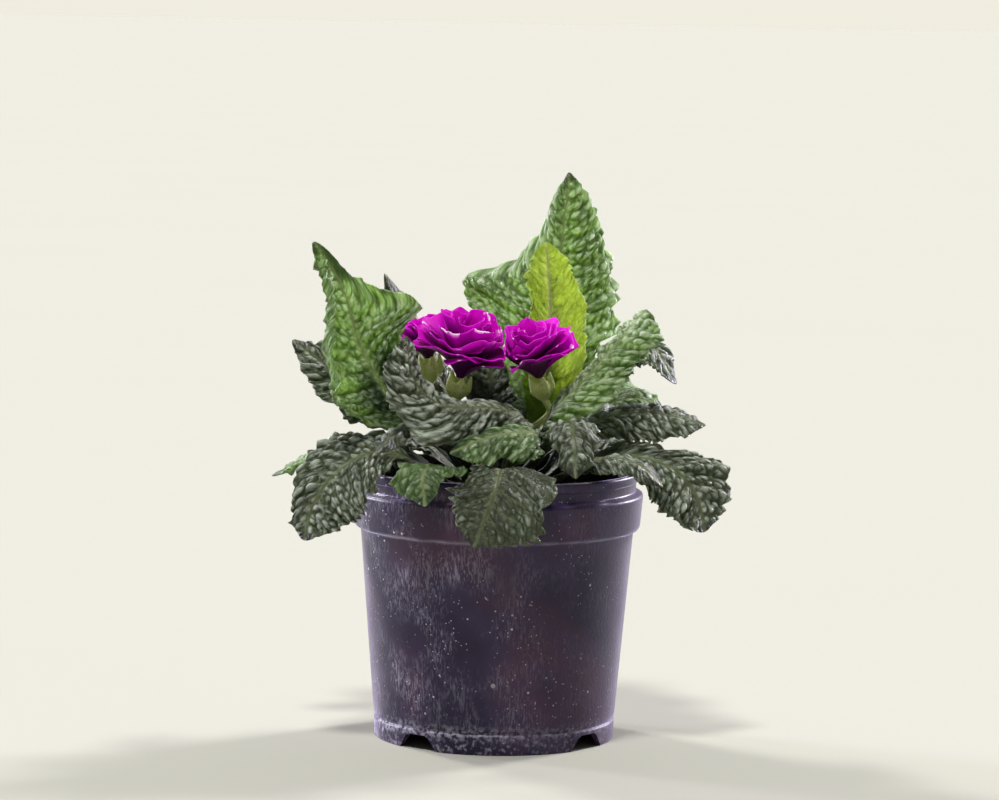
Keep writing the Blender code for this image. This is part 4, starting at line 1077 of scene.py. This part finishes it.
def potMaterial():
    look = potLook
    material, tree, shader = newMaterial("aged_plastic")
    place = ownPlace(tree)
    part = addNode(tree, "SeparateXYZ", {"Vector": place}).outputs
    stretch = (1.0, 1.0, look["stretch"])
    drawn = addNode(tree, "VectorMath", {0: place, 1: stretch}, operation="MULTIPLY").outputs[0]
    left = spread(part["X"], 0.02, -0.045)  # 1 towards the pot's left side

    def weathered(mask, share):
        return times(mask, spread(left, 0, 1, *share))

    def line(height, reach, core):
        # a thin ring round the pot at this height
        away = calculate("ABSOLUTE", calculate("SUBTRACT", part["Z"], height))
        return spread(away, reach, core)

    colour = mixed(patches(place, look["fadedNoise"]), look["plastic"], look["faded"])
    colour = mixed(patches(place, look["rustNoise"], 0.0, look["rustMost"]), colour, look["rust"])
    # dried drips run down the wall
    broken = patches(place, look["dripNoise"])
    drips = 0.0
    for drip in look["drips"]:
        drips = calculate("MAXIMUM", drips, times(patches(drawn, drip), broken))
    colour = mixed(weathered(drips, look["dripShare"]), colour, look["lime"])
    # specks of lime
    dots = 0.0
    for scale, empty, size in look["specks"]:
        specks = addNode(tree, "TexVoronoi", {"Vector": place, "Scale": scale}).outputs
        number = addNode(tree, "SeparateColor", {"Color": specks["Color"]}).outputs[0]
        spots = times(spread(specks["Distance"], size * 1.6, size), spread(number, empty, empty + 0.01))
        dots = calculate("MAXIMUM", dots, spots)
    dots = weathered(times(dots, patches(place, look["speckNoise"], 0.1, 1.0)), look["speckShare"])
    colour = mixed(times(dots, look["speckMost"]), colour, look["speck"])
    # lime has settled where the body meets the foot, and on the foot
    joint = line((pot["footHeight"] + 0.2) * mm, 0.0035, 0.0004)
    settled = times(joint, patches(place, look["jointNoise"]))
    footLime = times(spread(part["Z"], 0.008, 0.005), patches(place, look["footNoise"]))
    lime = calculate("MAXIMUM", settled, times(footLime, look["footMost"]))
    lime = weathered(lime, look["limeShare"])
    # worn line along the lower edge of the band
    edge = line((pot["bandLow"] + 0.5) * mm, 0.0011, 0.0002)
    worn = weathered(times(edge, patches(place, look["edgeNoise"])), look["wornShare"])
    dust = calculate("MAXIMUM", lime, worn)
    gloss = patches(place, look["glossNoise"], *look["roughness"])
    height = calculate("MULTIPLY_ADD", dots, 0.6, cloud(place, 900.0, 3.0))
    feed(shader, {
        "Base Color": mixed(dust, colour, look["lime"]),
        "Roughness": calculate("MULTIPLY_ADD", dust, 0.4, gloss),
        "Normal": bumped(calculate("MULTIPLY_ADD", dust, 0.6, height), look["grain"], 0.8),
        **look["shader"],
    })
    return material


makePot()
print("pot")

# Compost and crown

compost = dict(
    level=86.5, segments=140, hill=0.7, lump=0.9, fine=0.45,
    crumbs=420, crumbSize=(0.5, 1.5), crumbReach=45, seed=6,
)
compostLook = dict(
    size=2.2, dark=(0.012, 0.007, 0.005), light=(0.075, 0.045, 0.027), relief=0.9, roughness=(0.98, 0.75),
)
crownLook = dict(
    size=1.6, dark=(0.055, 0.040, 0.020), light=(0.20, 0.19, 0.07), relief=0.6, roughness=(0.9, 0.65),
)


def soilHeight(x, y):
    radius = np.hypot(x, y)
    inner, outer = crown["radius"], pot["neck"] - pot["wall"] - 0.7
    free = smoothstep(radius, inner + 1, inner + 4) * (1 - smoothstep(radius, outer - 3, outer))
    lumps = compost["lump"] * noise(x / 3.1, y / 3.1, 3) + compost["fine"] * noise(x / 0.9, y / 0.9, 4)
    hills = compost["hill"] * np.sin(0.9 * x + 2) * np.cos(0.8 * y)
    return compost["level"] + 0.5 + 0.8 * free * (hills + lumps)


def makeCompost():
    inset = pot["wall"] + clearance + 0.2
    top, low = compost["level"], pot["floorLow"] + pot["wall"] + clearance
    hole, rim = crown["radius"] + clearance, pot["neck"] - inset - 0.2
    bottom = top - crown["depth"] - clearance + 2
    profile = np.array([
        (0, bottom), (hole, bottom), (hole, top + 0.4), (rim, top - 0.2),
        (rim, pot["bandLow"] + 4), (pot["bodyTop"] - inset, pot["bandLow"] - 1),
        (pot["bodyFoot"] - inset, low + 1.4), (pot["bodyFoot"] - inset - 0.9, low), (0, low),
    ])
    mesh = turned("root_ball", fillIn(profile, 0.9), compost["segments"])
    spots = np.empty(len(mesh.vertices) * 3, np.float32)
    mesh.vertices.foreach_get("co", spots)
    spots = spots.reshape(-1, 3) / mm
    radius = np.hypot(spots[:, 0], spots[:, 1])
    upper = (spots[:, 2] > top - 0.6) & (radius > hole + 0.3) & (radius < rim - 0.3)
    spots[upper, 2] = soilHeight(spots[upper, 0], spots[upper, 1])
    mesh.vertices.foreach_set("co", (spots * mm).ravel().astype(np.float32))
    draw = np.random.default_rng(compost["seed"])
    crumbs = [mesh]
    for _ in range(compost["crumbs"]):
        away = math.sqrt(draw.uniform((crown["radius"] + 3) ** 2, compost["crumbReach"] ** 2))
        angle = draw.uniform(0, 2 * math.pi)
        x, y = away * math.cos(angle), away * math.sin(angle)
        size = draw.uniform(*compost["crumbSize"])
        shape = bmesh.new()
        bmesh.ops.create_icosphere(shape, subdivisions=1, radius=size * mm)
        for vertex in shape.verts:
            vertex.co *= draw.uniform(0.7, 1.2)
        crumb = keepShape(shape, bpy.data.meshes.new("crumb"))
        place = Vector((x, y, float(soilHeight(np.array(x), np.array(y))) + 0.1 * size))
        crumb.transform(Matrix.Translation(place * mm) @ Matrix.Diagonal((1.2, 0.9, 0.8, 1)))
        crumbs.append(crumb)
    whole = joinMeshes("root_ball", crumbs)
    whole.shade_smooth()
    material = grittyMaterial("damp_compost", compostLook)
    return finishPiece(placeObject("root_ball", whole, material), "compost", "compost")


def makeCrown():
    radius, centre = crown["radius"], crown["centre"]
    arc = np.radians(np.linspace(90, 0, 40))
    foot = centre - crown["depth"] + 4
    profile = np.vstack([
        np.stack([radius * np.cos(arc), centre + radius * np.sin(arc)], axis=-1),
        [(radius * 0.95, centre - 5), (radius * 0.9, foot), (0, foot)],
    ])
    profile[0, 0] = 0
    mesh = turned("rootstock", fillIn(profile, 0.7), 90)
    for vertex in mesh.vertices:
        x, y, z = (c / mm for c in vertex.co)
        # scars of old leaves, above the foot
        scars = float(noise(np.array(x / 2.2), np.array(y / 2.2), 8))
        scars = scars + 0.4 * math.sin(17 * math.atan2(y, x) + z)
        inward = 1 - 0.022 * (1 + scars) * (z > foot + 0.5)
        vertex.co.x *= inward
        vertex.co.y *= inward
    material = grittyMaterial("rootstock_bark", crownLook)
    return finishPiece(placeObject("rootstock", mesh, material), "crown", "crown")


makeCompost()
makeCrown()
print("compost and crown")

# Floor, light and camera

studio = dict(
    reach=90000, floor=(0.357, 0.360, 0.317), floorNoise=(3.0, 0.3, 0.7), horizon=(0.87, 0.850, 0.74),
    behind=(1.0, 0.98, 1.1), ahead=(0.17, 0.165, 0.165),  # the brighter half gives the bright edges
    sunAngle=9.0,
    suns=[  # turn from the front, height, strength, colour
        (138, 38, 2.6, (1.0, 0.97, 0.92)), (-132, 42, 2.4, (1.0, 0.97, 0.92)),
        (18, 66, 2.5, (1.0, 0.98, 0.95)),
        (117, 11, 3.2, (0.84, 0.78, 1.0)), (-130, 11, 3.4, (0.84, 0.78, 1.0)),
    ],
)


def makeFloor():
    side = np.array([-1.0, 1.0]) * studio["reach"]
    points = np.stack([*np.meshgrid(side, side), np.zeros((2, 2))], axis=-1)
    material, tree, shader = newMaterial("pale_paper")
    soft = patches(ownPlace(tree), studio["floorNoise"])
    colour = mixed(soft, studio["floor"], tuple(c * 0.99 for c in studio["floor"]))
    feed(shader, {"Base Color": colour, "Roughness": 1.0, "Specular IOR Level": 0.0})
    placeObject("floor", gridMesh("floor", points), material)


def makeLights():
    world = bpy.data.worlds.new("studio_world")
    world.use_nodes = True
    tree = world.node_tree
    part = addNode(tree, "SeparateXYZ", {"Vector": addNode(tree, "TexCoord").outputs["Generated"]}).outputs
    colour = mixed(spread(part["Y"], 0.05, 0.75), studio["ahead"], studio["behind"])
    colour = mixed(spread(part["Z"], 0.10, 0.02), colour, studio["horizon"])
    feed(tree.nodes["Background"], {"Color": colour})
    bpy.context.scene.world = world
    for number, (turn, height, strength, colour) in enumerate(studio["suns"]):
        light = bpy.data.lights.new(f"sun_{number}", "SUN")
        light.energy = strength
        light.color = colour
        light.angle = math.radians(studio["sunAngle"])
        lamp = placeObject(light.name, light)
        lamp.rotation_euler = Vector(towards(-90 - turn, height)).to_track_quat("Z", "Y").to_euler()


photoView = dict(
    distance=1400, elevation=7, height=90,  # the camera turns round a point on the pot's axis
    sideStep=0.1, pitch=5.71, lean=1.0, lens=139.8,
)


def makeCamera():
    view = photoView
    camera = placeObject("camera", bpy.data.cameras.new("camera"))
    camera.data.lens = view["lens"]
    camera.data.clip_start, camera.data.clip_end = 0.05, 400
    place = view["distance"] * towards(-90, view["elevation"]) + (view["sideStep"], 0, view["height"])
    camera.location = place * mm
    tilt = Matrix.Rotation(math.radians(90 - view["pitch"]), 4, "X")
    lean = Matrix.Rotation(math.radians(view["lean"]), 4, "Z")
    camera.rotation_euler = (tilt @ lean).to_euler()
    bpy.context.scene.camera = camera


makeFloor()
makeLights()
makeCamera()
bpy.context.scene.view_settings.view_transform = "Standard"
print("floor, light and camera")
